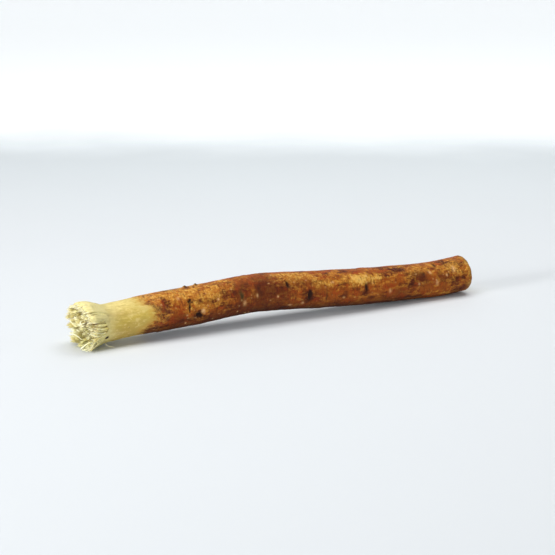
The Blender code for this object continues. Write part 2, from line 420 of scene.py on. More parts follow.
@dataclass
class Wiring:
    """Short ways to lay out a material's or a group's nodes."""

    tree: bpy.types.NodeTree

    def node(self, kind: str, **settings: object) -> bpy.types.Node:
        """Add a node and set its own properties.

        Args:
            kind: Its type.
            settings: Its properties by name.

        Returns:
            The node.
        """
        made = self.tree.nodes.new(kind)
        for label, value in settings.items():
            setattr(made, label, value)
        return made

    def feed(self, target: Socket, value: object) -> None:
        """Link a socket to another, or set it where the value isn't a socket.

        Args:
            target: The socket.
            value: What it takes its value from.
        """
        if isinstance(value, Socket):
            self.tree.links.new(value, target)
        else:
            target.default_value = value

    def fill(self, node: bpy.types.Node, **values: object) -> bpy.types.Node:
        """Feed a node's inputs by name, with underscores for spaces, and pass the node on.

        Args:
            node: The node.
            values: A value or a socket for each input.

        Returns:
            The same node.
        """
        for label, value in values.items():
            self.feed(node.inputs[label.replace("_", " ")], value)
        return node

    def value_of(self, label: str) -> Socket:
        """Read a field of the mesh."""
        return self.node("ShaderNodeAttribute", attribute_name=label).outputs["Fac"]

    def math(self, operation: str, *values: object) -> Socket:
        """Work out a number from up to three others.

        Args:
            operation: What to do with them.
            values: Numbers or sockets.

        Returns:
            The result.
        """
        made = self.node("ShaderNodeMath", operation=operation)
        for socket, value in zip(made.inputs, values):
            self.feed(socket, value)
        return made.outputs[0]

    def swing(self, value: object, by: object, amount: float) -> Socket:
        """Raise and lower a value by noise between 0 and 1, by an amount from end to end."""
        return self.math("MULTIPLY_ADD", by, amount, self.math("SUBTRACT", value, amount / 2))

    def ramp(self, low: float, high: float, value: object) -> Socket:
        """Rise smoothly from 0 where the value is low to 1 where it is high."""
        made = self.node("ShaderNodeMapRange", interpolation_type="SMOOTHSTEP")
        return self.fill(made, Value=value, From_Min=low, From_Max=high).outputs["Result"]

    def mix(self, share: object, under: object, over: object) -> Socket:
        """Lay one colour over another.

        Args:
            share: How much of the upper one shows.
            under: The lower one.
            over: The upper one.

        Returns:
            The colour.
        """
        made = self.node("ShaderNodeMix", data_type="RGBA")
        self.feed(made.inputs[0], share)
        for socket, value in ((made.inputs[6], under), (made.inputs[7], over)):
            self.feed(socket, value if isinstance(value, Socket) else (*value, 1.0))
        return made.outputs[2]

    def coat(self, under: object, over: object, mask: object, strength: float) -> Socket:
        """Lay one colour over another where a mask holds, as strongly as told."""
        return self.mix(self.math("MULTIPLY", mask, strength), under, over)

    def grow(self, vector: object, scale: Place) -> Socket:
        """Scale a place, so that a pattern stretches."""
        return self.fill(self.node("ShaderNodeMapping"), Vector=vector, Scale=scale).outputs["Vector"]

    def bumps(self, vector: object, scale: object, detail: float = 3.0, rough: float = 0.5) -> Socket:
        """Smooth noise between 0 and 1, with so many bumps to the metre."""
        made = self.node("ShaderNodeTexNoise")
        return self.fill(made, Vector=vector, Scale=scale, Detail=detail, Roughness=rough).outputs["Fac"]

    def cloud(self, vector: object, size: float, detail: float = 3.0, rough: float = 0.5) -> Socket:
        """Smooth noise between 0 and 1, with bumps of about a size in millimetres."""
        return self.bumps(vector, 1.0 / (size * MM), detail, rough)

    def per_metre(self, size: Socket, finer: float = 1.0) -> Socket:
        """How many bumps of a size in millimetres go to the metre, or more of them if finer."""
        return self.math("MULTIPLY", self.math("DIVIDE", 1.0 / MM, size), finer)

    def relief(self, height: object, depth: float, strength: float) -> Socket:
        """Turn a height between 0 and 1 into a normal, for a relief of a depth in millimetres."""
        made = self.node("ShaderNodeBump")
        return self.fill(made, Strength=strength, Distance=depth * MM, Height=height).outputs["Normal"]


@dataclass(frozen=True)
class BarkTone:
    """Colours of the bark."""

    deep: Colour = srgb(80, 30, 7)
    brown: Colour = srgb(151, 77, 19)
    rust: Colour = srgb(157, 64, 15)
    tan: Colour = srgb(182, 111, 36)
    # Gold of wear, and of the painted highlight along the top.
    gold: Colour = srgb(201, 139, 48)
    dim: Colour = srgb(82, 29, 7)
    # Painted shade for the underside.
    under: Colour = srgb(60, 23, 6)
    # Pale straw of the painted highlights in the gold.
    straw: Colour = srgb(232, 190, 98)
    pale: Colour = srgb(226, 178, 120)
    hole: Colour = srgb(36, 16, 10)
    moss: Colour = srgb(92, 84, 40)


class Effects:
    """Shader groups that more than one finish uses, each made once."""

    def __init__(self) -> None:
        """Make the groups."""
        self.speckle = self._make_speckle()
        self.grain = self._make_grain()
        self.mottling = self._make_mottling()
        self.bark_colours = self._make_bark_colours(BarkTone())

    @staticmethod
    def _open_group(
        name: str, inputs: dict[str, float], outputs: Sequence[str]
    ) -> tuple[Wiring, bpy.types.bpy_prop_collection, bpy.types.Node]:
        """Start a group.

        Args:
            name: The group's name.
            inputs: Its numbers and their usual values.
            outputs: Its results, numbers but for one that is named Colour.

        Returns:
            Its wiring, the sockets of its inputs, and its output node.
        """
        tree = bpy.data.node_groups.new(name, "ShaderNodeTree")
        tree.interface.new_socket(name="Place", in_out="INPUT", socket_type="NodeSocketVector")
        for label, value in inputs.items():
            socket = tree.interface.new_socket(name=label, in_out="INPUT", socket_type="NodeSocketFloat")
            socket.default_value = value
        for label in outputs:
            kind = "NodeSocketColor" if label == "Colour" else "NodeSocketFloat"
            tree.interface.new_socket(name=label, in_out="OUTPUT", socket_type=kind)
        wires = Wiring(tree)
        return wires, wires.node("NodeGroupInput").outputs, wires.node("NodeGroupOutput")

    def _make_speckle(self) -> bpy.types.NodeTree:
        """Small round specks, as lenticels and flecks have them.

        Returns:
            The group.
        """
        wires, given, result = self._open_group(
            "natural_specks", {"Size": 1.0, "Share": 0.2, "Softness": 0.15}, ["Mask"]
        )
        warp = wires.fill(wires.node("ShaderNodeTexNoise"), Vector=given["Place"], Scale=1200.0)
        shifted = wires.node("ShaderNodeVectorMath", operation="MULTIPLY_ADD")
        shift = (0.6 * MM, 0.6 * MM, 0.6 * MM)
        for socket, value in zip(shifted.inputs, (warp.outputs["Color"], shift, given["Place"])):
            wires.feed(socket, value)
        cells = wires.node("ShaderNodeTexVoronoi")
        wires.fill(cells, Vector=shifted.outputs[0], Scale=wires.per_metre(given["Size"]))
        chance = wires.fill(wires.node("ShaderNodeSeparateColor"), Color=cells.outputs["Color"]).outputs[0]
        size = wires.math("MULTIPLY", given["Share"], chance)
        inside = wires.math("SUBTRACT", size, cells.outputs["Distance"])
        soft = wires.math("DIVIDE", inside, given["Softness"])
        wires.fill(result, Mask=wires.fill(wires.node("ShaderNodeClamp"), Value=soft).outputs[0])
        return wires.tree

    def _make_grain(self) -> bpy.types.NodeTree:
        """Long fine streaks along the stick, as wood fibres show them.

        Returns:
            The group.
        """
        wires, given, result = self._open_group(
            "lengthwise_grain", {"Width": 0.3, "Coarse Width": 1.2}, ["Fine", "Coarse"]
        )
        stretched = wires.grow(given["Place"], (0.05, 1.0, 1.0))
        for label, width in (("Fine", "Width"), ("Coarse", "Coarse Width")):
            wires.fill(result, **{label: wires.bumps(stretched, wires.per_metre(given[width]))})
        return wires.tree

    def _make_mottling(self) -> bpy.types.NodeTree:
        """Broad and fine blotches drawn out along the stick, as bark shows them.

        Returns:
            The group.
        """
        wires, given, result = self._open_group(
            "bark_mottling", {"Broad Size": 3.2, "Fine Size": 0.9}, ["Broad", "Fine", "Crumbs"]
        )
        for label, size, stretch, detail, finer in (
            ("Broad", "Broad Size", 0.5, 4.0, 1.0),
            ("Fine", "Fine Size", 0.45, 4.0, 1.0),
            ("Crumbs", "Fine Size", 0.9, 5.0, 2.2),
        ):
            drawn_out = wires.grow(given["Place"], (stretch, 1.0, 1.0))
            blotches = wires.bumps(drawn_out, wires.per_metre(given[size], finer), detail, 0.62)
            wires.fill(result, **{label: blotches})
        return wires.tree

    def _make_bark_colours(self, tone: BarkTone) -> bpy.types.NodeTree:
        """Flaky brown bark: gold where it shows wear and as a painted highlight along the top, with painted
        straw highlights in the gold, dark where it is dim, and painted shade where it faces down.

        Args:
            tone: Its colours.

        Returns:
            The group.
        """
        wires, given, result = self._open_group(
            "bark_colours", {"Gold": 0.0, "Dim": 0.0, "Under": 0.0}, ["Colour", "Relief", "Crumbs"]
        )
        place = given["Place"]
        mottling = self.use(wires, self.mottling, place, Broad_Size=4.0, Fine_Size=1.5)
        broad, fine, crumbs = (mottling.outputs[label] for label in ("Broad", "Fine", "Crumbs"))
        folds = wires.cloud(wires.grow(place, (2.0, 0.55, 0.55)), 1.1)
        rust = wires.cloud(wires.grow(place, (0.8, 1.0, 1.0)), 2.4)
        colour = wires.mix(wires.ramp(0.38, 0.54, broad), tone.deep, tone.brown)
        colour = wires.coat(colour, tone.rust, wires.ramp(0.5, 0.64, rust), 0.7)
        colour = wires.coat(colour, tone.tan, wires.ramp(0.49, 0.62, fine), 0.8)
        # Gold where the bark shows wear, and a painted highlight where the gold patches run along the top.
        wear_and_highlight = wires.swing(wires.swing(given["Gold"], fine, 2.2), crumbs, 1.7)
        colour = wires.coat(colour, tone.gold, wires.ramp(0.0, 0.95, wear_and_highlight), 0.85)
        # Painted highlight: pale straw flecks in the gold.
        painted_highlight = wires.swing(wear_and_highlight, wires.cloud(place, 0.7, 3.0, 0.6), 3.0)
        colour = wires.coat(colour, tone.straw, wires.ramp(0.55, 1.4, painted_highlight), 0.6)
        colour = wires.coat(colour, tone.deep, wires.ramp(0.46, 0.32, folds), 0.5)
        colour = wires.coat(colour, tone.deep, wires.ramp(0.47, 0.3, crumbs), 0.3)
        dim = wires.swing(given["Dim"], fine, 0.6)
        colour = wires.coat(colour, tone.dim, wires.ramp(0.0, 0.9, dim), 0.85)
        # Painted shade on the underside, as strong as its field.
        colour = wires.mix(given["Under"], colour, tone.under)
        specks = self.use(wires, self.speckle, place, Size=2.1, Share=0.28, Softness=0.22)
        colour = wires.coat(colour, tone.hole, specks.outputs["Mask"], 0.4)
        narrowed = wires.grow(place, (0.9, 1.1, 1.3))
        flecks = self.use(wires, self.speckle, narrowed, Size=1.9, Share=0.27, Softness=0.26)
        colour = wires.coat(colour, tone.pale, flecks.outputs["Mask"], 0.5)
        height = wires.math("MULTIPLY_ADD", crumbs, 1.4, wires.cloud(place, 0.3, 2.0))
        height = wires.math("MULTIPLY_ADD", folds, 2.0, height)
        wires.fill(result, Colour=colour, Relief=height, Crumbs=crumbs)
        return wires.tree

    @staticmethod
    def use(wires: Wiring, group: bpy.types.NodeTree, place: object, **numbers: object) -> bpy.types.Node:
        """Place a group in a material.

        Args:
            wires: The material's wiring.
            group: The group.
            place: Where on the object the effect is read.
            numbers: The group's values, with underscores for spaces in their names.

        Returns:
            The group's node.
        """
        return wires.fill(wires.node("ShaderNodeGroup", node_tree=group), Place=place, **numbers)


def open_material(name: str) -> tuple[bpy.types.Material, Wiring, bpy.types.Node, Socket]:
    """Start a material.

    Args:
        name: The material's name.

    Returns:
        The material, its wiring, its shader and the place on the object that patterns are read at.
    """
    material = bpy.data.materials.new(name)
    material.use_nodes = True
    wires = Wiring(material.node_tree)
    shader = material.node_tree.nodes["Principled BSDF"]
    place = wires.node("ShaderNodeTexCoord").outputs["Object"]
    return material, wires, shader, place


@dataclass(frozen=True)
class WoodTone:
    """Colours of the peeled wood and of the thin bark left on it."""

    pale: Colour = srgb(228, 210, 138)
    straw: Colour = srgb(207, 180, 86)
    tan: Colour = srgb(188, 158, 84)
    olive: Colour = srgb(184, 158, 72)
    bleached: Colour = srgb(222, 212, 150)
    scrape: Colour = srgb(200, 146, 58)
    scar: Colour = srgb(44, 28, 16)


@dataclass(frozen=True)
class WoodFinish:
    """Peeled wood: matt and pale, with fine grain, painted shade from straw to tan on its lower side, and
    brown where thin bark is left on it.
    """

    effects: Effects
    tone: WoodTone = WoodTone()
    roughness: float = 0.62
    glow_depths: Place = (0.0012, 0.0009, 0.0005)

    def make(self) -> bpy.types.Material:
        """Make the material.

        Returns:
            The material.
        """
        material, wires, shader, place = open_material("peeled_wood")
        effects, tone = self.effects, self.tone
        grain = effects.use(wires, effects.grain, place, Width=0.2, Coarse_Width=1.3)
        mottling = effects.use(wires, effects.mottling, place, Broad_Size=2.6, Fine_Size=0.8)
        broad, blotches, crumbs = (mottling.outputs[label] for label in ("Broad", "Fine", "Crumbs"))
        fine = wires.ramp(0.35, 0.75, grain.outputs["Fine"])
        # Painted shade: the neck goes from pale through straw to tan towards its lower side.
        side = wires.swing(wires.value_of("side"), broad, 0.9)
        colour = wires.mix(wires.ramp(0.0, 0.55, side), tone.pale, tone.straw)
        colour = wires.mix(wires.ramp(0.5, 1.05, side), colour, tone.tan)
        colour = wires.coat(colour, tone.tan, wires.ramp(0.45, 0.72, grain.outputs["Coarse"]), 0.5)
        colour = wires.coat(colour, tone.olive, fine, 0.4)
        colour = wires.coat(colour, tone.olive, wires.ramp(0.5, 0.62, blotches), 0.5)
        colour = wires.coat(colour, tone.pale, wires.ramp(0.48, 0.36, blotches), 0.5)
        tip = wires.swing(wires.value_of("tip"), broad, 0.5)
        colour = wires.coat(colour, tone.bleached, wires.ramp(0.0, 0.8, tip), 0.8)
        from_edge = wires.value_of("edge")
        near_bark = wires.ramp(-6.0, -0.5, wires.swing(from_edge, broad, 5.0))
        colour = wires.coat(colour, tone.olive, near_bark, 0.5)
        ragged = wires.swing(wires.swing(from_edge, blotches, 5.0), crumbs, 3.0)
        colour = wires.coat(colour, tone.scrape, wires.ramp(-3.2, 0.2, ragged), 0.6)
        # Bark left on the wood takes the bark's colours, with their painted top highlight and painted
        # underside shade.
        gold, under = wires.value_of(Tint.GOLD.value), wires.value_of("under")
        bark = effects.use(wires, effects.bark_colours, place, Gold=gold, Dim=0.0, Under=under)
        on_bark = wires.ramp(-1.0, 1.3, ragged)
        colour = wires.mix(on_bark, colour, bark.outputs["Colour"])
        colour = wires.mix(wires.value_of(Tint.DARK.value), colour, tone.scar)
        height = wires.math("ADD", grain.outputs["Fine"], crumbs)
        rough_bark = wires.math("MULTIPLY", on_bark, bark.outputs["Relief"])
        height = wires.math("MULTIPLY_ADD", rough_bark, 1.6, height)
        wires.fill(
            shader,
            Base_Color=colour,
            Roughness=wires.math("MULTIPLY_ADD", fine, 0.12, self.roughness),
            Specular_IOR_Level=0.25,
            Subsurface_Weight=0.06,
            Subsurface_Radius=self.glow_depths,
            Subsurface_Scale=1.0,
            Normal=wires.relief(height, 0.1, 0.7),
        )
        return material


@dataclass(frozen=True)
class BarkFinish:
    """Dry root bark: flaky brown, gold where it shows wear and as a painted highlight along the top, with
    dark pits, pale flecks and painted shade on the underside.
    """

    effects: Effects
    tone: BarkTone = BarkTone()
    roughness: float = 0.5

    def make(self) -> bpy.types.Material:
        """Make the material.

        Returns:
            The material.
        """
        material, wires, shader, place = open_material("bark")
        effects, tone = self.effects, self.tone
        values = {tint: wires.value_of(tint.value) for tint in Tint}
        gold, dim, under = values[Tint.GOLD], values[Tint.DIM], wires.value_of("under")
        bark = effects.use(wires, effects.bark_colours, place, Gold=gold, Dim=dim, Under=under)
        crumbs = bark.outputs["Crumbs"]
        colour = wires.mix(values[Tint.MOSS], bark.outputs["Colour"], tone.moss)
        pale = wires.math("MULTIPLY", values[Tint.PALE], wires.ramp(0.2, 0.48, crumbs))
        colour = wires.mix(pale, colour, tone.pale)
        wires.fill(
            shader,
            Base_Color=wires.mix(values[Tint.DARK], colour, tone.hole),
            Roughness=wires.math("MULTIPLY_ADD", crumbs, 0.2, self.roughness),
            Specular_IOR_Level=0.14,
            Normal=wires.relief(bark.outputs["Relief"], 0.2, 0.8),
        )
        return material


@dataclass(frozen=True)
class FibreTone:
    """Colours of the brush."""

    root: Colour = srgb(240, 212, 112)
    body: Colour = srgb(251, 240, 166)
    tip: Colour = srgb(255, 251, 206)
    green: Colour = srgb(206, 208, 130)
    # Dark golden brown of the painted shade deep in the brush.
    inner: Colour = srgb(136, 100, 34)
    dim: Colour = srgb(176, 150, 66)
    scar: Colour = srgb(40, 28, 16)


@dataclass(frozen=True)
class FibreFinish:
    """Split fibres: straw at the root, cream further out, green in places, pale at the tips, with painted
    shade in dark golden brown deep in the brush and in its hollows.
    """

    effects: Effects
    tone: FibreTone = FibreTone()
    roughness: float = 0.55
    glow_depths: Place = (0.0008, 0.0006, 0.0004)

    def make(self) -> bpy.types.Material:
        """Make the material.

        Returns:
            The material.
        """
        material, wires, shader, place = open_material("brush_fibre")
        effects, tone = self.effects, self.tone
        grain = effects.use(wires, effects.grain, place, Width=0.14, Coarse_Width=0.7)
        shade, reach = wires.value_of("shade"), wires.value_of("reach")
        spread = wires.math("MULTIPLY_ADD", shade, 0.22, reach)
        colour = wires.mix(wires.ramp(0.1, 0.6, spread), tone.root, tone.body)
        colour = wires.mix(wires.ramp(0.65, 1.05, spread), colour, tone.tip)
        colour = wires.coat(colour, tone.root, wires.ramp(0.5, 0.75, grain.outputs["Coarse"]), 0.3)
        colour = wires.coat(colour, tone.green, wires.value_of("green"), 0.85)
        # Painted shade: fibres deep in the brush or ending in a hollow turn dark golden brown, more so
        # further in.
        deep = wires.math("MULTIPLY", wires.value_of("depth"), wires.ramp(0.84, 0.5, reach))
        colour = wires.mix(deep, colour, tone.inner)
        patches = wires.ramp(0.62, 0.36, wires.cloud(place, 0.7, 3.0, 0.6))
        patches = wires.math("MULTIPLY", patches, 0.2)
        dim = wires.math("MULTIPLY_ADD", wires.ramp(0.0, -1.0, shade), 0.42, patches)
        colour = wires.mix(dim, colour, tone.dim)
        wires.fill(
            shader,
            Base_Color=wires.mix(wires.value_of(Tint.DARK.value), colour, tone.scar),
            Roughness=wires.math("MULTIPLY_ADD", grain.outputs["Fine"], 0.2, self.roughness),
            Subsurface_Weight=0.3,
            Subsurface_Radius=self.glow_depths,
            Subsurface_Scale=1.0,
            Normal=wires.relief(grain.outputs["Fine"], 0.05, 0.6),
        )
        return material


def scatter_marks(count: int, seed: int, *ranges: Range) -> tuple[Mark, ...]:
    """Scatter small marks over the skin, the same ones each time.

    Args:
        count: How many.
        seed: Chooses the pattern.
        ranges: Least and greatest x, angle, half length, half width and strength.

    Returns:
        The marks.
    """
    draw = np.random.RandomState(seed)
    return rows_of(Mark, *([draw.uniform(*limits) for limits in ranges] for _ in range(count)))


@dataclass
class BarkSkin:
    """The bark: a sleeve round the wood, with its ledge, relief, pits and rounded rim.

    It starts a foot's length before the bark's edge, set into the wood by its inset. Its patches of
    colour are no stronger than strongest, and those of gold than strongest_gold. Its painted shade
    on the underside fades towards the butt.
    """

    form: StickForm
    sides: int = 192
    foot: float = 0.35
    inset: float = 0.12
    ledge_step: float = 0.09
    ring_step: float = 0.285
    ledge_zone: float = 2.6
    ledge_length: SmoothCurve = curve_round(
        (0, 0.3), (40, 0.7), (80, 1.7), (110, 1.5), (150, 0.6), (250, 0.9),
    )
    wrinkle: float = 0.10
    crease: float = 0.05
    grit: float = 0.035
    pit_darkness: float = 2.6
    lenticel_darkness: float = 3.6
    strongest: float = 0.95
    strongest_gold: float = 1.4
    painted_shade_fades: Range = (38.0, 56.0)
    painted_shade_fading: float = 0.85
    rim_steps: int = 9
    rim_waviness: float = 0.12
    rim_gold: float = 0.75
    inner_radius: float = 4.62
    inner_places: tuple[float, ...] = (40.0, 10.0, -20.0, -37.0)
    lenticels: tuple[Mark, ...] = scatter_marks(
        210, 5, (-41.0, 66.0), (0.0, 360.0), (0.1, 0.3), (0.2, 0.9), (0.03, 0.14)
    )
    flecks: tuple[Mark, ...] = scatter_marks(
        60, 8, (-38.0, 66.0), (0.0, 360.0), (0.15, 0.5), (0.15, 0.5), (0.2, 0.8)
    )
    pits: tuple[Mark, ...] = rows_of(
        Mark,
        (-31, 104, 1, 0.75, 0.6), (-30, 109, 0.6, 0.6, 0.4), (-33.5, 56, 0.45, 0.55, 0.45),
        (-33, 63, 0.55, 0.3, 0.3), (-34.2, 60, 0.3, 0.45, 0.3), (-33.8, 73, 0.3, 0.9, 0.3),
        (-34.1, 86, 0.26, 0.8, 0.25), (-41.3, 62, 0.3, 1, 0.2), (-41.9, 76, 0.25, 0.8, 0.2),
        (-40.6, 86, 0.22, 0.9, 0.18), (-16.5, 77, 0.6, 1.2, 0.25), (-0.7, 58, 0.6, 1.25, 0.45),
        (6.7, 94, 0.9, 1.85, 0.5), (12.6, 100, 0.3, 2.3, 0.3), (26.8, 80, 0.8, 1.3, 0.4),
        (49.1, 53, 0.5, 0.8, 0.3), (54.7, 23, 0.6, 1.5, 0.3), (-20.5, 225, 0.7, 1.5, 0.35),
        (9.5, 250, 0.8, 1.7, 0.4), (33, 205, 0.6, 1.3, 0.35), (40.5, 300, 0.8, 1.6, 0.4),
        (-41.6, 68, 0.35, 0.6, 0.2), (-5.5, 83, 0.3, 0.4, 0.15), (5.1, 73, 0.35, 0.5, 0.15),
        (22.1, 81, 0.4, 0.5, 0.18), (22.2, 102, 0.4, 0.45, 0.15), (29.9, 66, 0.4, 0.45, 0.18),
    )
    warts: tuple[Mark, ...] = rows_of(
        Mark,
        (-32.7, 356, 0.55, 0.55, 0.5), (-29, 352, 0.5, 0.5, 0.5), (-35.2, 66, 1.2, 1.4, 0.2),
        (-33.3, 100, 1, 1.3, 0.25), (-4.2, 92, 1.3, 1.8, 0.18), (3.6, 92, 1.2, 2, 0.22),
        (24.2, 62, 2.2, 1.6, 0.2), (-12, 285, 1.6, 2, 0.3), (17.5, 220, 1.5, 1.8, 0.25),
        (29, 330, 1.8, 1.6, 0.25),
    )
    # Gold patches: wear, and along the top, near angle 10, a painted highlight.
    gold: tuple[Mark, ...] = rows_of(
        Mark,
        (-42, 12, 3.6, 5.5, 0.5), (-36, 8, 5, 5.5, 0.35), (-30, 12, 8, 5, 0.4), (-20, 14, 7, 4.5, 0.35),
        (-27, 58, 6, 3.6, 0.4), (-32, 74, 4.5, 2.6, 0.4), (2, 18, 7, 1.8, 0.6), (-36, 40, 4, 2.4, 0.3),
        (24.5, 52, 3.8, 2.3, 1.3), (30, 50, 5, 1.8, 1), (14, 55, 7, 2.2, 0.5), (2, 42, 12, 3, 0.45),
        (61, 45, 5.5, 4.5, 0.75), (67, 60, 1.3, 14, 0.7), (58, 128, 7, 1.6, 0.4), (47, 25, 9, 5, 0.5),
        (-8, 200, 12, 3, 0.3), (35, 285, 14, 4.5, 0.5), (-25, 300, 12, 4.5, 0.5),
    )
    pale: tuple[Mark, ...] = rows_of(
        Mark,
        (-37.1, 45, 0.4, 0.5, 0.8), (-24.5, 70, 0.35, 0.45, 0.9), (-34.9, 99, 0.35, 0.3, 0.7),
        (-29.6, 96, 0.6, 0.7, 1.4), (-11.4, 82, 0.35, 0.6, 0.8), (-15.7, 100, 0.6, 0.9, 0.7),
        (-4.6, 92, 0.35, 0.4, 0.8), (4.3, 120, 0.5, 0.5, 0.9), (0.2, 126, 0.8, 0.4, 0.6),
        (35.5, 98, 0.5, 0.8, 0.7), (51.5, 50, 0.6, 0.6, 0.7), (53.5, 88, 0.6, 0.8, 0.6),
        (57.6, 67, 0.4, 0.5, 0.8), (61, 50, 0.9, 1.1, 0.8),
    )
    dark: tuple[Mark, ...] = rows_of(
        Mark,
        (-32.7, 0, 0.7, 0.9, 0.95), (-29, 356, 0.6, 0.8, 0.95), (-33.8, 60, 0.5, 0.5, 0.6),
        (-34, 78, 0.28, 1.5, 0.55), (6.8, 90, 1.3, 2.2, 0.45), (-11, 61, 1.1, 1.7, 0.6),
        (-10.2, 78, 0.7, 1.2, 0.5), (28, 66, 0.8, 0.8, 0.5), (55.5, 60, 0.9, 2.2, 0.35),
    )
    dim: tuple[Mark, ...] = rows_of(
        Mark,
        (-16.5, 62, 3.4, 6, 0.55), (-9, 62, 5.5, 6.5, 0.8), (-2, 80, 5, 5, 0.5), (-37.5, 108, 4.5, 3, 0.6),
        (-22, 118, 9, 2.6, 0.35), (8, 108, 7, 2.4, 0.35), (39.5, 104, 5, 2.4, 0.5), (47.5, 55, 4, 2.5, 0.5),
        (-22, 60, 4, 2.2, 0.35), (-10, 128, 14, 3.6, 0.35), (5, 54, 4, 2.4, 0.45), (11, 76, 6, 2.6, 0.3),
        (48.5, 74, 3.5, 2.6, 0.4), (65, 34, 3, 3, 0.35), (64.5, 128, 3.5, 2.6, 0.7),
        (56.5, 76, 5, 2.4, 0.45), (5, 250, 16, 5, 0.4), (-30, 215, 12, 4, 0.4), (48, 230, 10, 4, 0.4),
    )
    moss: tuple[Mark, ...] = rows_of(
        Mark,
        (-16.6, 76, 0.7, 1.5, 0.9), (-38.5, 352, 3.5, 1.5, 0.6), (67.3, 110, 0.8, 5, 0.6),
        (67, 20, 0.7, 3, 0.5),
    )

    def ring_places(self) -> np.ndarray:
        """Places of the rings along the stick, closer together at the ledge.

        Returns:
            The places in order.
        """
        start = self.form.bark_edge_x - self.foot
        ledge = np.arange(start, start + self.ledge_zone, self.ledge_step)
        end = self.form.butt_x - self.form.rim_radius
        count = int((end - ledge[-1]) / self.ring_step)
        return np.concatenate([ledge, np.linspace(ledge[-1], end, count + 1)[1:]])

    def ledge(self, from_edge: np.ndarray, angle: np.ndarray) -> np.ndarray:
        """How far the bark has risen from the wood, by the distance from its edge.

        Args:
            from_edge: Distance from the edge, into the bark.
            angle: Angles around the stick.

        Returns:
            0 at the foot of the ledge and 1 where the bark has its full height.
        """
        length = self.ledge_length.at(angle) * (1 + 0.5 * noise_on_skin(from_edge, angle, 1.2, 71.0, 0.7))
        return blend(0.0, 1.0, from_edge / length) ** 0.8

    def relief(self, x: np.ndarray, angle: np.ndarray) -> np.ndarray:
        """Height of the bark's wrinkles, creases and grit.

        Args:
            x: Places along the stick.
            angle: Angles around it.

        Returns:
            The height at each point.
        """
        along = 1 - 2 * np.abs(noise_on_skin(x, angle, 3.6, 101.0, 1.1))
        broken = noise_on_skin(x, angle, 1.3, 111.0, 1.0)
        across = 1 - 2 * np.abs(noise_on_skin(x, angle, 0.9, 121.0, 2.6))
        grit = self.grit * noise_on_skin(x, angle, 0.55, 131.0)
        wrinkles = self.wrinkle * along * (0.5 + 0.5 * broken)
        creases = self.crease * across * (0.5 - 0.5 * broken)
        return -wrinkles - creases + grit

    @staticmethod
    def stamp(
        marks: Sequence[Mark], x: np.ndarray, angle: np.ndarray, ragged: np.ndarray, sharpness: float
    ) -> np.ndarray:
        """Sum of marks over the skin, worked out only near each.

        Args:
            marks: The marks.
            x: Places along the stick, one row for each ring.
            angle: Angles, in the same shape.
            ragged: Noise for the marks' outlines.
            sharpness: How steep their sides are.

        Returns:
            The sum at each point.
        """
        total = np.zeros_like(x)
        for mark in marks:
            near = np.nonzero(np.abs(x - mark.x).min(axis=1) < 3 * mark.half_length)[0]
            if len(near):
                rows = slice(near[0], near[-1] + 1)
                total[rows] += mark.over(x[rows], angle[rows], ragged[rows], sharpness)
        return total

    def rim(self, start_x: float, radius: np.ndarray, angles: np.ndarray) -> list[np.ndarray]:
        """Round the bark off at the butt and line its inner side.

        Args:
            start_x: Where the rounding starts.
            radius: The bark's radius there, by angle.
            angles: Angles around the stick.

        Returns:
            One row of points for each ring.
        """
        form = self.form
        rings = []
        for step in range(1, self.rim_steps + 1):
            turn = math.radians(90.0 * step / self.rim_steps)
            x = np.full(self.sides, start_x + form.rim_radius * math.sin(turn))
            x += self.rim_waviness * noise_on_skin(x * 0, angles, 1.5, 81.0) * math.sin(turn)
            rings.append(form.place(x, radius - form.rim_radius * (1 - math.cos(turn)), angles)[None])
        for inner_x in (form.butt_x - 0.8, *self.inner_places):
            x = np.full(self.sides, inner_x)
            rings.append(form.place(x, np.full(self.sides, self.inner_radius), angles)[None])
        return rings

    def build(self, material: bpy.types.Material) -> bpy.types.Object:
        """Build and dress the bark.

        Args:
            material: Its finish.

        Returns:
            The piece.
        """
        form = self.form
        angles = np.arange(self.sides) * 360.0 / self.sides
        ring_x, angle = np.meshgrid(self.ring_places(), angles, indexing="ij")
        x = form.skin_x(ring_x, angle)
        ragged = noise_on_skin(x, angle, 0.9, 51.0)
        pits = self.stamp(self.pits, x, angle, ragged, 1.6)
        lenticels = self.stamp(self.lenticels, x, angle, ragged, 1.3)
        warts = self.stamp(self.warts, x, angle, ragged * 0.5, 1.2)
        rise = self.ledge(ring_x - (form.bark_edge_x - self.foot), angle)
        wood = form.wood_radius.at(x) * form.oval(x, angle) - self.inset
        bark = form.bark_radius.at(x) * form.oval(x, angle)
        relief = self.relief(x, angle) + warts - pits - lenticels
        radius = wood + (bark - wood) * rise + form.unevenness(x, angle) * (0.4 + 0.6 * rise) + relief * rise
        points = np.concatenate([form.place(x, radius, angle), *self.rim(ring_x[-1, 0], radius[-1], angles)])
        rings = len(points)
        # Painted shade on the underside, fading towards the butt.
        under = form.painted_underside_shade(angle) * (1 - self.painted_shade_fading * blend(*self.painted_shade_fades, x))
        fields = {"under": self._pad(under, rings, 0.2)}
        extra = {
            Tint.DARK: pits * self.pit_darkness + lenticels * self.lenticel_darkness,
            Tint.PALE: self.stamp(self.flecks, x, angle, ragged, 1.3),
        }
        for tint, patches, limit in (
            (Tint.DARK, self.dark, self.strongest),
            (Tint.PALE, self.pale, self.strongest),
            (Tint.GOLD, self.gold, self.strongest_gold),
            (Tint.DIM, self.dim, self.strongest),
            (Tint.MOSS, self.moss, self.strongest),
        ):
            total = extra.get(tint, 0.0) + self.stamp(patches, x, angle, ragged * 0.8, 1.0)
            fields[tint.value] = self._pad(np.clip(total, 0.0, limit), rings, 0.0)
        fields[Tint.GOLD.value][len(x) : len(x) + self.rim_steps] = self.rim_gold
        piece = make_mesh("bark", points.reshape(-1, 3), band_faces(rings, self.sides, True), fields)
        dress(piece, material)
        return piece

    @staticmethod
    def _pad(values: np.ndarray, rings: int, filler: float) -> np.ndarray:
        """Add rows of one value for the rim and the inner side."""
        rows = np.full((rings - len(values), values.shape[1]), filler)
        return np.concatenate([values, rows])


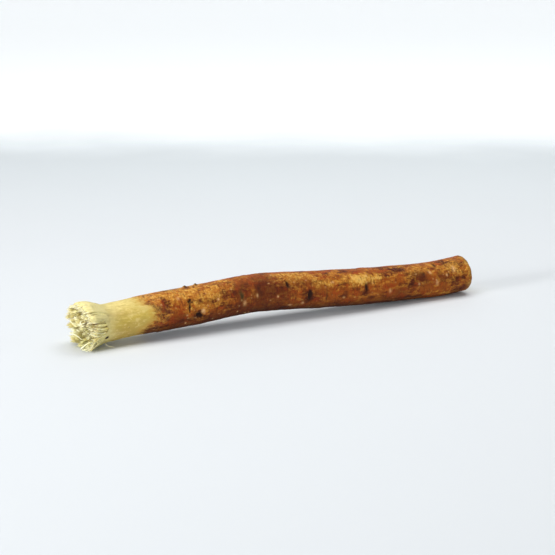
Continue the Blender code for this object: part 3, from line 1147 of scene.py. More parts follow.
@dataclass
class PeeledWood:
    """The wood: the peeled neck, whose split end runs on into the brush, and the cut butt's face.

    Its lip is how thick the split sheets are, its jag how long their teeth are, and its droop how
    far their ends sink. The cracks of its cut face are rows of angle and inner and outer end, as
    shares of the radius.
    """

    form: StickForm
    sides: int = 288
    rings: int = 150
    inner_end_x: float = -38.2
    hollow_x: float = -60.0
    dome_x: float = -59.6
    dome_radius: float = 4.9
    lip: float = 0.34
    inner_radius: float = 4.5
    inner_places: tuple[float, ...] = (-37.0, -20.0, 10.0, 40.0, 66.0)
    face_radius: float = 4.72
    face_rings: int = 40
    face_inset: float = 0.08
    pith_depth: float = 0.22
    scrape_height: float = 0.09
    scar_depth: float = 0.12
    grooves: float = 0.045
    fine_grooves: float = 0.02
    frayed_grooves: float = 0.22
    frayed_fine_grooves: float = 0.07
    bites: float = 0.03
    split_depth: float = 0.16
    split_width: float = 0.22
    pith_darkness: float = 0.42
    crack_darkness: float = 0.5
    cracks: tuple[Place, ...] = ((38.0, 0.04, 0.78), (171.0, 0.05, 0.42), (262.0, 0.3, 0.95))
    growth_rings: float = 3.3
    split_end: SmoothCurve = curve_round(
        (0, -66.6), (12, -66.9), (17, -65.9), (22, -66.8), (36, -66.6), (43, -65.6), (47.5, -62.9),
        (51, -63.3), (54, -65.4), (64, -65.7), (67, -64.4), (70, -61.4), (78, -61), (92, -60.2),
        (101, -60.9), (106, -62.6), (116, -64.8), (122, -64), (128, -65.5), (141, -65.4), (147, -63.4),
        (156, -61.6), (172, -62.6), (190, -61.2), (205, -62.8), (222, -61.4), (238, -63.4), (256, -61.9),
        (272, -63.6), (288, -62.9), (301, -65.4), (315, -66.2), (322, -65.2), (329, -66.6), (345, -66.8),
        (351, -65.6),
    )
    jag: float = 0.7
    droop: float = 0.5
    lifts: tuple[Mark, ...] = rows_of(
        Mark,
        (-65.2, 59, 3.2, 1, 0.38), (-65.2, 36, 2.6, 1, 0.12), (-62.5, 47, 2.6, 0.35, -0.3),
        (-62.2, 73, 2.2, 0.7, -0.35), (-64, 128, 2.4, 1.1, 0.2), (-62.2, 119, 2.6, 0.25, -0.15),
        (-64.4, 340, 2, 1.3, 0.12),
    )
    scars: tuple[Mark, ...] = rows_of(
        Mark,
        (-60.2, 120, 0.58, 0.55, 1), (-44.6, 35, 0.3, 0.3, 0.2), (-53.4, 103, 0.2, 0.15, 0.25),
    )

    def neck_radius(self, x: np.ndarray, angle: np.ndarray) -> np.ndarray:
        """Radius of the peeled neck, with its flare, grooves and lifted sheets.

        Args:
            x: Places along the stick.
            angle: Angles around it.

        Returns:
            The radius at each point.
        """
        form = self.form
        frayed = blend(-57.0, -64.0, x)
        grooves = self.grooves * noise_on_skin(x, angle, 6.0, 201.0, 0.7)
        fine = self.fine_grooves + self.frayed_fine_grooves * frayed
        grooves += fine * noise_on_skin(x, angle, 3.4, 211.0, 0.3)
        grooves += self.frayed_grooves * frayed * noise_on_skin(x, angle, 4.0, 216.0, 1.5)
        near_split = np.maximum(self.split_width - np.abs(noise_on_skin(x, angle, 5.0, 219.0, 1.1)), 0.0)
        grooves -= self.split_depth * frayed * near_split / self.split_width
        bites = self.bites * noise_on_skin(x, angle, 1.1, 221.0, 3.0)
        radius = form.wood_radius.at(x) * form.oval(x, angle) + 0.4 * form.unevenness(x, angle)
        swell = form.flare(x, angle) - form.neck_radius - self.droop * blend(-65.6, -67.8, x)
        raised = sum(mark.over(x, angle, np.zeros_like(x), 1.0) for mark in self.lifts)
        from_edge = x - form.scraped_edge.at(angle) + 0.8 * noise_on_skin(x, angle, 1.3, 251.0)
        return radius + swell + grooves + bites + raised + self.scrape_height * blend(-0.1, 0.35, from_edge)

    def end_places(self, angles: np.ndarray) -> np.ndarray:
        """Where the split wood ends, by angle.

        Args:
            angles: Angles around the stick.

        Returns:
            A place along the stick for each angle.
        """
        flat = np.zeros_like(angles)
        jag = 0.5 * noise_on_skin(flat, angles, 0.9, 231.0) + 0.8 * noise_on_skin(flat, angles, 0.42, 235.0)
        teeth = np.abs(noise_on_skin(flat, angles, 0.27, 238.0))
        return self.split_end.at(angles) + self.jag * (jag + 1.3 * teeth)

    def split_rings(self, ends: np.ndarray, radius: np.ndarray, angles: np.ndarray) -> list[np.ndarray]:
        """Shape the hollow inside the split end: its domed floor, and the inner side of the split sheets.

        Args:
            ends: Where the split wood ends, by angle.
            radius: Its outer radius there.
            angles: Angles around the stick.

        Returns:
            One row of points for each ring.
        """
        form = self.form
        flat = np.zeros(self.sides)
        rings = [
            form.place(flat + self.dome_x - 0.4 * share, flat + self.dome_radius * share, angles)[None]
            for share in (0.0, 0.35, 0.7, 1.0)
        ]
        for share in (0.35, 0.7, 0.93):
            x = self.hollow_x + (ends - self.hollow_x) * share
            inner = self.neck_radius(x, angles) - self.lip * (1.25 - 0.5 * share)
            rings.append(form.place(x, inner, angles)[None])
        rings.append(form.place(ends - 0.02, radius - 0.5 * self.lip, angles)[None])
        return rings

    def face(self, shares: np.ndarray, angles: np.ndarray) -> list[np.ndarray]:
        """Shape the cut face, faintly rough and sunken at the pith.

        Args:
            shares: Shares of the face's radius.
            angles: Angles around the stick.

        Returns:
            One row of points for each share.
        """
        flat = np.zeros(self.sides)
        rings = []
        for share in shares:
            rough = 0.06 * noise_on_skin(flat, angles, 0.8, 241.0 + share) + 0.03 * math.sin(share * 60.0)
            depth = self.pith_depth * math.exp(-((share / 0.12) ** 2))
            x = flat + self.form.butt_x - self.face_inset - depth + rough * share
            rings.append(self.form.place(x, flat + self.face_radius * share, angles)[None])
        return rings

    def build(self, material: bpy.types.Material) -> bpy.types.Object:
        """Build and dress the wood.

        Args:
            material: Its finish.

        Returns:
            The piece.
        """
        form = self.form
        angles = np.arange(self.sides) * 360.0 / self.sides
        flat = np.zeros(self.sides)
        ends = self.end_places(angles)
        part = np.linspace(0.0, 1.0, self.rings)[:, None] ** 1.15
        ring_x = ends[None] + (self.inner_end_x - ends[None]) * part
        angle = np.broadcast_to(angles, ring_x.shape)
        x = form.skin_x(ring_x, angle)
        scars = sum(mark.over(x, angle, np.zeros_like(x), 1.5) for mark in self.scars)
        radius = self.neck_radius(x, angle) - self.scar_depth * scars
        front = self.split_rings(ends, radius[0], angles)
        lining = flat + self.inner_radius
        inner = [form.place(flat + place, lining, angles)[None] for place in self.inner_places]
        shares = np.linspace(1.0, 0.0, self.face_rings)
        points = np.concatenate([*front, form.place(x, radius, angle), *inner, *self.face(shares, angles)])
        rings = len(points)
        on_neck = slice(len(front), len(front) + self.rings)
        on_face = slice(rings - self.face_rings, rings)
        dark, gold = Tint.DARK.value, Tint.GOLD.value
        usual = {"edge": -20.0, dark: 0.0, "side": 0.5, "tip": 0.0, "under": 0.0, gold: 0.0}
        fields = {label: np.full((rings, self.sides), value) for label, value in usual.items()}
        fields["edge"][on_neck] = x - form.scraped_edge.at(angle)
        fields[dark][on_neck] = np.clip(scars * 2.4, 0.0, 1.0)
        fields[dark][on_face], fields["side"][on_face] = self.cut_marks(shares, angles)
        # Painted shade on the neck's lower side, weaker towards the split end.
        fields["side"][on_neck] = np.exp(-(((angle - 122.0) / 58.0) ** 2))
        fields["side"][on_neck] *= 1 - 0.6 * blend(-54.0, -64.0, x)
        fields["tip"][on_neck] = blend(-53.0, -66.0, x)
        # Painted shade on the underside of the neck.
        fields["under"][on_neck] = form.painted_underside_shade(angle)
        # More gold towards the top of the bark left on the neck: a painted highlight.
        fields[gold][on_neck] = 0.24 + 0.5 * np.exp(-((((angle + 160.0) % 360.0 - 170.0) / 44.0) ** 2))
        piece = make_mesh("peeled_wood", points.reshape(-1, 3), band_faces(rings, self.sides, False), fields)
        self._close(piece)
        dress(piece, material)
        return piece

    def cut_marks(self, shares: np.ndarray, angles: np.ndarray) -> tuple[np.ndarray, np.ndarray]:
        """Pith, fine cracks, rays and growth rings on the cut face, as dark and straw parts.

        Args:
            shares: Shares of the face's radius.
            angles: Angles round the stick.

        Returns:
            The two parts, one value for each share and angle.
        """
        share = np.broadcast_to(shares[:, None], (len(shares), len(angles)))
        flat = np.zeros(len(angles))
        uneven = noise_on_skin(flat, angles, 2.4, 261.0)
        rays = noise_on_skin(flat, angles, 0.22, 265.0)
        pith = self.pith_darkness * np.exp(-(((share + 0.015 * uneven) / 0.085) ** 4))
        cracks = np.zeros_like(share)
        for angle, inner, outer in self.cracks:
            away = (angles - angle + 6.0 * uneven + 180.0) % 360.0 - 180.0
            along = blend(inner - 0.06, inner + 0.04, share) * (1 - blend(outer - 0.3, outer, share))
            cracks = np.maximum(cracks, self.crack_darkness * along * np.exp(-((away * share / 0.7) ** 2)))
        rings = 0.5 + 0.5 * np.sin(2 * np.pi * (self.growth_rings * share**1.3 + 0.16 * uneven))
        browned = 0.16 * blend(0.86, 1.0, share) + 0.07 * rings**3 + 0.09 * rays * share
        straw = 0.35 + 0.35 * rings + 0.35 * rays * share + 0.2 * uneven
        return np.clip(pith + cracks + browned, 0.0, 1.0), straw

    @staticmethod
    def _close(piece: bpy.types.Object) -> None:
        """Merge the points at the middle of each end, which closes the mesh.

        Args:
            piece: The piece.
        """
        mesh = bmesh.new()
        mesh.from_mesh(piece.data)
        bmesh.ops.remove_doubles(mesh, verts=mesh.verts, dist=1e-7)
        mesh.to_mesh(piece.data)
        mesh.free()


@dataclass(frozen=True)
class Strip:
    """A flat strip of wood that peels off the neck and splits into fingers towards its end.

    Its lift raises it off the brush, its swing turns its end round the stick, and its split is
    how far the fingers part.
    """

    angle: float
    width: float
    end_x: float
    lift: float = 0.1
    swing: float = 0.0
    fingers: int = 4
    split: float = 1.0


@dataclass(frozen=True)
class Tuft:
    """Locks that hold together: where their end stands sideways and up, how much shorter, how bright."""

    side: float
    up: float
    shorter: float = 0.0
    shade: float = 0.0


@dataclass(frozen=True)
class FibreKind:
    """One kind of fibre in the brush. Its inner and outer are shares of the neck's radius."""

    name: str
    count: int
    width: float
    thickness: float
    inner: float
    outer: float
    sides: int
    steps: int
    gather: float
    wander: float
    shorter: float
    seed: int


@dataclass(frozen=True)
class Strand:
    """A single fibre that can be told from the rest: its course, as x, y and z, and its width."""

    course: tuple[tuple[float, float, float], ...]
    width: float
    shade: float = 1.0


def fibre_fields(
    counts: int, each: int, shade: np.ndarray, green: np.ndarray, reach: np.ndarray, depth: np.ndarray
) -> dict[str, np.ndarray]:
    """Fields that the fibres' finish reads.

    Args:
        counts: How many fibres there are.
        each: How many points each has.
        shade: One value for each fibre, from -1 for dim to 1 for bright, with the painted highlight of the
            top fibres in it.
        green: One value for each fibre.
        reach: Share of the length, for each point of one fibre or of all.
        depth: Painted shade, one value for each fibre, 1 for deep inside the brush.

    Returns:
        The fields by name, one value for each point.
    """
    reach = np.tile(reach, counts) if len(reach) == each else reach
    fields = {"shade": shade, "green": green, "depth": depth}
    return {**{label: np.repeat(values, each) for label, values in fields.items()}, "reach": reach}


def wrap_tubes(
    paths: np.ndarray, width: np.ndarray, thickness: np.ndarray, sides: int, out: np.ndarray
) -> tuple[np.ndarray, list[tuple[int, ...]]]:
    """Wrap closed flattened tubes round paths.

    Args:
        paths: Points, one row for each fibre.
        width: Width at each point.
        thickness: Thickness at each point.
        sides: How many sides a tube has.
        out: A direction for each fibre that its flat side faces.

    Returns:
        Points and faces of all the tubes.
    """
    count, stations, _ = paths.shape
    ahead = np.gradient(paths, axis=1)
    ahead /= np.linalg.norm(ahead, axis=-1, keepdims=True)
    side = np.cross(ahead, out[:, None])
    side /= np.linalg.norm(side, axis=-1, keepdims=True)
    through = np.cross(side, ahead)
    ring = np.arange(sides) * 2 * np.pi / sides
    across = (0.5 * width)[..., None, None] * np.cos(ring)[:, None] * side[:, :, None]
    through = (0.5 * thickness)[..., None, None] * np.sin(ring)[:, None] * through[:, :, None]
    points = paths[:, :, None] + across + through
    return points.reshape(-1, 3), tube_faces(count, stations, sides)


@dataclass(frozen=True)
class FingerShape:
    """How wide, thick and rough the fingers of the strips are, and how far they differ.

    A finger is sunk in the neck by root_sink until it is root_back past its root, and comes free
    over the next root_length. It gets painted shade of sunken_painted_shade where its strip lies deep.
    """

    radius: float = 6.6
    end_scatter: float = 0.55
    end_raggedness: float = 0.5
    end_curve: float = 0.35
    overlap: float = 1.2
    width_scatter: float = 0.12
    fanning: float = 0.12
    sway: float = 0.5
    swing_scatter: float = 2.2
    lift_scatter: float = 0.17
    lift_sway: float = 0.35
    root_back: float = 1.6
    root_scatter: float = 0.5
    root_length: float = 3.2
    root_sink: float = 0.4
    ridges: float = 0.07
    crown: float = 0.05
    thickness: float = 0.75
    thickest: float = 0.5
    sunken_painted_shade: float = 0.8


@dataclass
class Brush:
    """The brush: strips that peel off the neck and fibres that split off it, gathered in locks.

    Its dish is how much shorter the fibres at its middle are, and its widening how much further
    apart the tufts stand at their ends than in the neck. Fibres keep inside the brush's outer side
    by the inset, and stray past it by the slack at most. The hollows are rows of how far sideways
    and up they lie, their size and their depth.
    """

    form: StickForm
    root_x: float = -56.8
    shallowest_end_x: float = -61.5
    core_end_x: float = -63.2
    reach_length: float = 8.5
    strip_stations: int = 18
    strip_columns: int = 6
    fingers: FingerShape = FingerShape()
    dish: float = 0.9
    locks: int = 150
    bunches: int = 46
    bunch_pull: float = 0.3
    tuft_pull: float = 0.3
    widening: float = 1.3
    tufts: tuple[Tuft, ...] = rows_of(
        Tuft,
        (-4.8, 5.2, 0.2, 0.2), (-5.9, 3.4, 0.1, -0.8), (-1, 6, 0.3, 0.3), (3.6, 5.9, 0.4, 0.2),
        (6.3, 3.6, 0.8, 0), (-6.2, 1.6, 0, -0.9), (-6.4, -0.3, 0, -0.8), (1.2, 3.3, 0.2, 0.6),
        (-2, 1.3, 0.8, -0.1), (0.2, -0.8, 0.3, 0.9), (3.7, 0.7, 0.4, 0.5), (6.5, -0.6, 0.8, 0.1),
        (-6.3, -2.1, 0.1, 0.6), (-3.7, -4.6, -0.6, -0.9), (2.4, -2.7, 0.4, 0.8), (5.6, -4.3, -0.3, 0.9),
        (3.1, -5.8, -0.5, 0.9), (-6.8, -4.3, -0.5, -0.9), (-0.8, -6.3, 0.1, 0.9),
    )
    fullness: float = 0.06
    inset: float = 0.15
    slack: float = 0.25
    slack_softness: float = 0.15
    lock_shortening: float = 0.35
    bunch_shortening: float = 0.2
    rounding: float = 0.8
    rounding_reach: float = 6.0
    lock_bend: float = 0.4
    bunch_bend: float = 0.3
    bend_out: Range = (-0.5, 0.25)
    bend_round: Range = (-7.0, 7.0)
    lock_shade: float = 0.6
    bunch_shade: float = 0.35
    # Painted highlight: how much brighter the fibres on the brush's top are made.
    painted_top_highlight: float = 0.4
    end_scatter: float = 0.5
    core_end_scatter: float = 0.6
    outer_sink: float = 0.5
    wave: float = 0.3
    wave_speeds: Range = (3.0, 10.0)
    stray: float = 0.35
    curl: Range = (0.1, 0.35)
    curl_turns: Range = (8.0, 17.0)
    side_limits: Range = (-7.72, 7.45)
    green: SmoothCurve = curve_round(
        (10, 0), (60, 0), (100, 0.1), (140, 0.3), (180, 0.9), (220, 0.6), (270, 0.2), (320, 0.1),
    )
    hollows: tuple[tuple[float, float, float, float], ...] = (
        (1.2, 2, 0.9, 5), (4.8, 1.8, 0.8, 4.6), (2.2, 4.8, 1, 3.6), (-0.9, -4.6, 0.6, 3.2),
        (-0.8, -2.4, 0.7, 3.4), (6, 0.9, 0.7, 3.4), (4.4, -2.9, 0.5, 1.6),
    )
    dot: Mark = Mark(-60.2, 120, 0.6, 0.6, 1.6)
    strips: tuple[Strip, ...] = rows_of(
        Strip,
        (-36, 2.6, -67.3, -0.7, 0, 9, 1), (-14, 2.9, -67.5, -0.75, 2, 10, 0.9),
        (10, 3, -67.7, -0.75, -2, 10, 0.9), (30, 2.2, -67.5, -0.65, 0, 8, 0.8),
        (44, 1.5, -67, -0.3, -3, 4, 0.9), (60, 1.9, -66.7, -0.15, 0, 5, 0.8),
        (71, 0.9, -63.4, -0.8, 0, 3, 0.6), (79, 0.55, -63.8, 0.2, -3, 1, 0.2),
        (85, 0.8, -64.8, -0.6, 0, 2, 1.2), (91, 0.55, -64.6, 0.1, -9, 1, 0.3),
        (97, 0.8, -65.8, -0.05, -13, 2, 1), (105, 1, -65.2, -0.3, -6, 3, 1.2),
        (116, 1.7, -66.2, -0.3, 0, 6, 1), (131, 2, -65.7, -0.3, 4, 7, 1.5),
        (147, 1.7, -65.6, -0.2, 8, 6, 1.5), (162, 1.6, -66.4, -0.1, 4, 5, 1.5),
        (177, 1.7, -66.6, -0.1, 3, 5, 1.4), (193, 1.6, -67, -0.1, -3, 5, 1.4),
        (208, 1.5, -66.2, -0.1, 4, 4, 1.2), (223, 1.9, -67, -0.1, 0, 5), (240, 1.7, -66.6, -0.15, -5, 5),
        (254, 1.4, -67, -0.1, 2, 4, 1.2), (268, 1.8, -66.4, -0.1, 4, 5), (285, 1.8, -66.9, -0.15, -3, 5),
        (302, 1.9, -66.6, -0.2, 3, 5, 1.1),
    )
    kinds: tuple[FibreKind, ...] = rows_of(
        FibreKind,
        ("brush_core", 110, 1.3, 1.1, 0, 0.8, 6, 6, 0, 0.1, 1, 11),
        ("brush_splints", 420, 0.56, 0.32, 0.05, 0.95, 6, 11, 0.35, 0.3, 0.8, 12),
        ("brush_fibres", 1500, 0.32, 0.2, 0.05, 0.98, 5, 11, 0.6, 0.5, 0.55, 13),
        ("brush_hairs", 1750, 0.18, 0.13, 0.03, 0.99, 3, 18, 0.5, 1, 0.45, 14),
    )
    strands: tuple[Strand, ...] = rows_of(
        Strand,
        (((-65.2, -1.3, 7.6), (-67, -2, 7.6), (-67.8, -3.4, 7.9), (-67.7, -5, 8.5),
            (-67.1, -6.4, 9.1)), 0.36),
        (((-65.5, -2.5, 6.9), (-67.2, -3.6, 7.1), (-67.7, -4.9, 7.6), (-67.4, -6, 8)), 0.2),
        (((-60.9, -5.4, 1.9), (-60.2, -5.6, 1.2), (-59, -5.4, 0.6), (-57.7, -5, 0.12)), 0.15),
        (((-60.5, -5, 1.4), (-59.9, -5.3, 1), (-59, -5.5, 0.75), (-58.3, -5.9, 0.55)), 0.1),
        (((-61.4, -6.7, 6.6), (-62.6, -7.3, 6.9), (-63.9, -7.5, 7.1), (-65, -7.3, 7.5)), 0.3),
        (((-61, -6.6, 5.4), (-62.7, -7.2, 5.5), (-64.4, -7.3, 5.9), (-65.6, -6.9, 6.4)), 0.32),
        (((-61.2, -6.5, 4.6), (-63.2, -7, 4.8), (-65.2, -7, 5.4), (-66.6, -6.2, 5.9)), 0.3),
        (((-63.4, -5.6, 2), (-65.6, -5.7, 1.4), (-66.9, -5.3, 0.9), (-67.6, -4.5, 0.5)), 0.24),
        (((-62.8, -6.2, 2.4), (-64.8, -6.4, 1.6), (-66.1, -6.2, 0.9), (-66.9, -5.6, 0.4)), 0.24),
        (((-66.2, 0.9, 8.2), (-67.3, 1, 8.8), (-67.8, 0.4, 9.4), (-67.7, -0.5, 9.2),
            (-67.3, -0.8, 8.5)), 0.3),
        (((-65.8, -2.2, 8.9), (-67.2, -3, 8.6), (-67.6, -3.9, 8), (-67.2, -4.8, 7.5)), 0.36),
        (((-65, -4.2, 2.6), (-66.3, -3.6, 1.7), (-67, -3, 0.9), (-67.4, -2.5, 0.35)), 0.4),
        (((-66.6, 6, 3.3), (-67.7, 4.2, 3.6), (-67.8, 1.8, 3.9), (-67.4, -0.6, 3.8),
            (-66.8, -2.4, 3)), 0.34),
        (((-65.5, 1.8, 6.8), (-67, 2.6, 6.6), (-67.8, 3.2, 7.1), (-67.9, 3.1, 8)), 0.3),
        (((-65.5, -3.6, 5.6), (-66.9, -4.6, 5.7), (-67.3, -5.8, 6.1)), 0.34),
        (((-65.4, 0.4, 5.2), (-67, 0.2, 5.4), (-67.6, -0.9, 5.7), (-67.4, -2.3, 5.6)), 0.34),
    )
    strand_sides: int = 8
    strand_stations: int = 25

    def build(self, material: bpy.types.Material) -> list[bpy.types.Object]:
        """Build and dress the strips, every kind of fibre and the single strands.

        Args:
            material: Their finish.

        Returns:
            The pieces in order.
        """
        pieces = [self.build_strips()]
        pieces += [self.build_kind(kind) for kind in self.kinds]
        pieces.append(self.build_strands())
        for piece in pieces:
            dress(piece, material)
        return pieces

    def build_strips(self) -> bpy.types.Object:
        """Build the flat strips, finger by finger.

        Returns:
            The piece.
        """
        draw = np.random.RandomState(21)
        slabs, fields = [], {label: [] for label in ("shade", "green", "reach", "depth", Tint.DARK.value)}
        for strip in self.strips:
            shade = draw.uniform(-0.25, 0.6)
            green = float(self.green.at(np.array(strip.angle % 360.0)))
            for number in range(strip.fingers):
                place = (2 * number + 1) / strip.fingers - 1
                jitter = draw.normal(0.0, 1.0, 6)
                slab, tones = self.finger(strip, place, jitter, len(slabs))
                slabs.append(slab)
                fields["shade"].append(tones["shade"] + shade + 0.25 * jitter[3])
                fields["reach"].append(tones["reach"])
                fields[Tint.DARK.value].append(tones[Tint.DARK.value])
                fields["green"].append(np.full(len(slab), green))
                # Painted shade on strips that lie deep.
                fields["depth"].append(np.full(len(slab), self.fingers.sunken_painted_shade * (strip.lift < -0.3)))
        faces = tube_faces(len(slabs), self.strip_stations, 2 * self.strip_columns)
        joined = {label: np.concatenate(values) for label, values in fields.items()}
        return make_mesh("brush_strips", np.concatenate(slabs), faces, joined)

    def finger(
        self, strip: Strip, place: float, jitter: np.ndarray, number: int
    ) -> tuple[np.ndarray, dict[str, np.ndarray]]:
        """Shape one finger of a strip, a closed slab that follows the brush's outer side.

        Args:
            strip: The strip.
            place: Where the finger stands across it, from -1 to 1.
            jitter: How its end, lift, swing, shade, width and root differ from the strip's.
            number: Chooses its ridges.

        Returns:
            Its points, and the fields that differ from point to point.
        """
        shape, loose = self.fingers, strip.split
        end, raised, swung, _, wider, root = jitter
        side = np.linspace(-1.0, 1.0, self.strip_columns)
        part = np.linspace(0.0, 1.0, self.strip_stations)[:, None] ** 0.85
        ragged = np.array([noise.noise((number * 3.7, 2.6 * u, 0.5)) for u in side])
        end_x = strip.end_x + shape.end_scatter * loose * end - shape.end_raggedness * ragged
        end_x = end_x + shape.end_curve * loose * side**2
        x = self.root_x + (end_x - self.root_x) * part
        narrow = 1 - min(0.2 + 0.4 * loose, 0.75) * part**3
        width = strip.width / strip.fingers * (shape.overlap + shape.width_scatter * wider * loose) * narrow
        sway = np.array([noise.noise((number * 2.9, 2.5 * v, 7.0)) for v in part.ravel()])[:, None]
        across = strip.width * place * (1 + shape.fanning * loose * part**2) + width * side
        across = across + shape.sway * loose * sway * part**2
        angle = strip.angle + strip.swing * part**1.5 + shape.swing_scatter * loose * swung * part**3
        angle = angle + np.degrees(0.5 * across / shape.radius)
        ridge = np.array([noise.noise((number * 5.3, width[0, 0] * u / 0.25, 2.0)) for u in side])
        fine = noise_on_skin(x, angle, 1.6, 301.0 + number, 0.3)
        rise_x = self.root_x - shape.root_back + shape.root_scatter * root
        sunk = shape.root_sink * (1 - blend(rise_x, rise_x - shape.root_length, x))
        lift = strip.lift + shape.lift_scatter * loose * raised * part
        lift = lift + shape.lift_sway * loose * sway * part**3
        top = self.form.flare(x, angle) - sunk + lift * blend(0.2, 1.0, part)
        top = top + shape.ridges * ridge + shape.ridges * fine
        top = top - shape.crown * side**2 * (1 + part)
        thick = min(shape.thickest, shape.thickness * strip.width / strip.fingers) * (1 - 0.6 * part)
        thick = thick * (1 - 0.8 * np.abs(side) ** 3) * (1 - 0.6 * part**6)
        slab = np.concatenate([self.spot(x, top, angle), self.spot(x, top - thick, angle)[:, ::-1]], axis=1)
        tones = {"reach": (x - self.form.neck_x) / -self.reach_length, "shade": 0.45 * ridge + 0.6 * fine}
        tones[Tint.DARK.value] = self.dot.over(x, angle, np.zeros_like(x), 1.6)
        tones = {label: np.concatenate([v, v[:, ::-1]], axis=1).ravel() for label, v in tones.items()}
        return slab.reshape(-1, 3), tones

    def spot(self, x: np.ndarray, radius: np.ndarray, angle: np.ndarray) -> np.ndarray:
        """Points of the brush at a radius and angle around the stick's middle.

        Args:
            x: Places along the stick.
            radius: Distances from the middle.
            angle: Angles around it.

        Returns:
            Points, with one more axis for x, y and z.
        """
        turn = np.radians(angle)
        y = self.hold(self.form.side.at(x) - radius * np.sin(turn))
        return np.stack([x, y, self.lay(self.form.height.at(x) + radius * np.cos(turn))], axis=-1)

    def hold(self, y: np.ndarray) -> np.ndarray:
        """Keep fibres between the brush's outermost sides."""
        near, far = self.side_limits
        return -soft_least(-soft_least(y, far, 0.08), -near, 0.08)

    @staticmethod
    def lay(height: np.ndarray, low: float = 0.12, soft: float = 0.6) -> np.ndarray:
        """Bend what would sink below the surface along it."""
        bent = low + soft * np.exp(np.minimum(height - low - soft, 0.0) / soft)
        return np.where(height < low + soft, bent, height)

    def lock_table(self) -> dict[str, np.ndarray]:
        """Where the locks stand in the neck, and how each bends.

        Returns:
            A value or a pair for each lock, by name.
        """
        draw = np.random.RandomState(3)
        radius, angle = self.sunflower(self.locks, draw)
        hearts = self.flat_points(radius, angle)
        bunch_hearts = self.flat_points(*self.sunflower(self.bunches, draw))
        bunch = ((hearts[:, None] - bunch_hearts[None]) ** 2).sum(-1).argmin(1)
        tufts = np.array([(tuft.side, tuft.up, tuft.shorter, tuft.shade) for tuft in self.tufts])
        away = ((self.widening * hearts[:, None] - tufts[None, :, :2]) ** 2).sum(-1)
        tuft = tufts[away.argmin(1)]
        rounded = self.rounding * np.minimum(away.min(1) / self.rounding_reach, 1.0)
        shorter = np.abs(draw.normal(0.0, self.lock_shortening, self.locks))
        shorter = shorter + np.abs(draw.normal(0.0, self.bunch_shortening, self.bunches))[bunch]
        bend = draw.uniform(-self.bunch_bend, self.bunch_bend, (self.bunches, 2))[bunch]
        bend = bend + draw.uniform(-self.lock_bend, self.lock_bend, (self.locks, 2))
        pull = self.bunch_pull * (bunch_hearts[bunch] - hearts)
        pull += self.tuft_pull * (tuft[:, :2] / self.widening - hearts)
        shade = self.bunch_shade * draw.normal(0.0, 1.0, self.bunches)[bunch]
        shade = shade + self.lock_shade * draw.normal(0.0, 1.0, self.locks)
        return {
            "radius": radius,
            "angle": angle,
            "bend_out": draw.uniform(*self.bend_out, self.locks),
            "bend_round": draw.uniform(*self.bend_round, self.locks),
            "shorter": shorter + tuft[:, 2] + rounded,
            "pull": pull + bend,
            "shade": shade + tuft[:, 3],
        }

    def sunflower(self, count: int, draw: np.random.RandomState) -> tuple[np.ndarray, np.ndarray]:
        """Spread places evenly over the neck's section, as radii and angles.

        Args:
            count: How many.
            draw: Random draws that loosen the pattern.

        Returns:
            The radii and the angles.
        """
        number = np.arange(count)
        angle = np.degrees(number * 2.39996) + draw.uniform(-8.0, 8.0, count)
        return self.form.neck_radius * np.sqrt((number + 0.5) / count), np.mod(angle, 360.0)

    def sink_at_hollows(self, ends: np.ndarray) -> np.ndarray:
        """How much shorter fibres are where the brush has a hollow, by where their ends lie.

        Args:
            ends: How far sideways and up they lie, one row for each fibre.

        Returns:
            A length for each fibre.
        """
        total = np.zeros(len(ends))
        for side, up, size, depth in self.hollows:
            away = ((ends - (side, up)) ** 2).sum(-1) / size**2
            total += depth * np.exp(-(away**1.5))
        return total

    def wander(self, grown: np.ndarray, draw: np.random.RandomState) -> tuple[np.ndarray, np.ndarray]:
        """Let single fibres wave, stray and curl, more towards their ends.

        Args:
            grown: How far out each point is, one row for each fibre.
            draw: The kind's random draws.

        Returns:
            Sideways and upward parts of the whole movement, and of the waves alone.
        """
        count = len(grown)
        phase = draw.uniform(0.0, 6.28, (count, 2, 1))
        speed = draw.uniform(*self.wave_speeds, (count, 2, 1))
        wave = np.sin(speed * grown[:, None] + phase) * grown[:, None] ** 1.5
        stray = draw.normal(0.0, self.stray, (count, 2, 1)) * grown[:, None] ** 3
        curl = np.maximum(draw.normal(*self.curl, (count, 1, 1)), 0.0) * blend(0.55, 1.0, grown)[:, None]
        turns = draw.uniform(*self.curl_turns, (count, 1)) * grown
        coil = curl * np.stack([np.cos(turns), np.sin(turns)], 1)
        return (self.wave * wave + stray + coil).transpose(0, 2, 1), wave

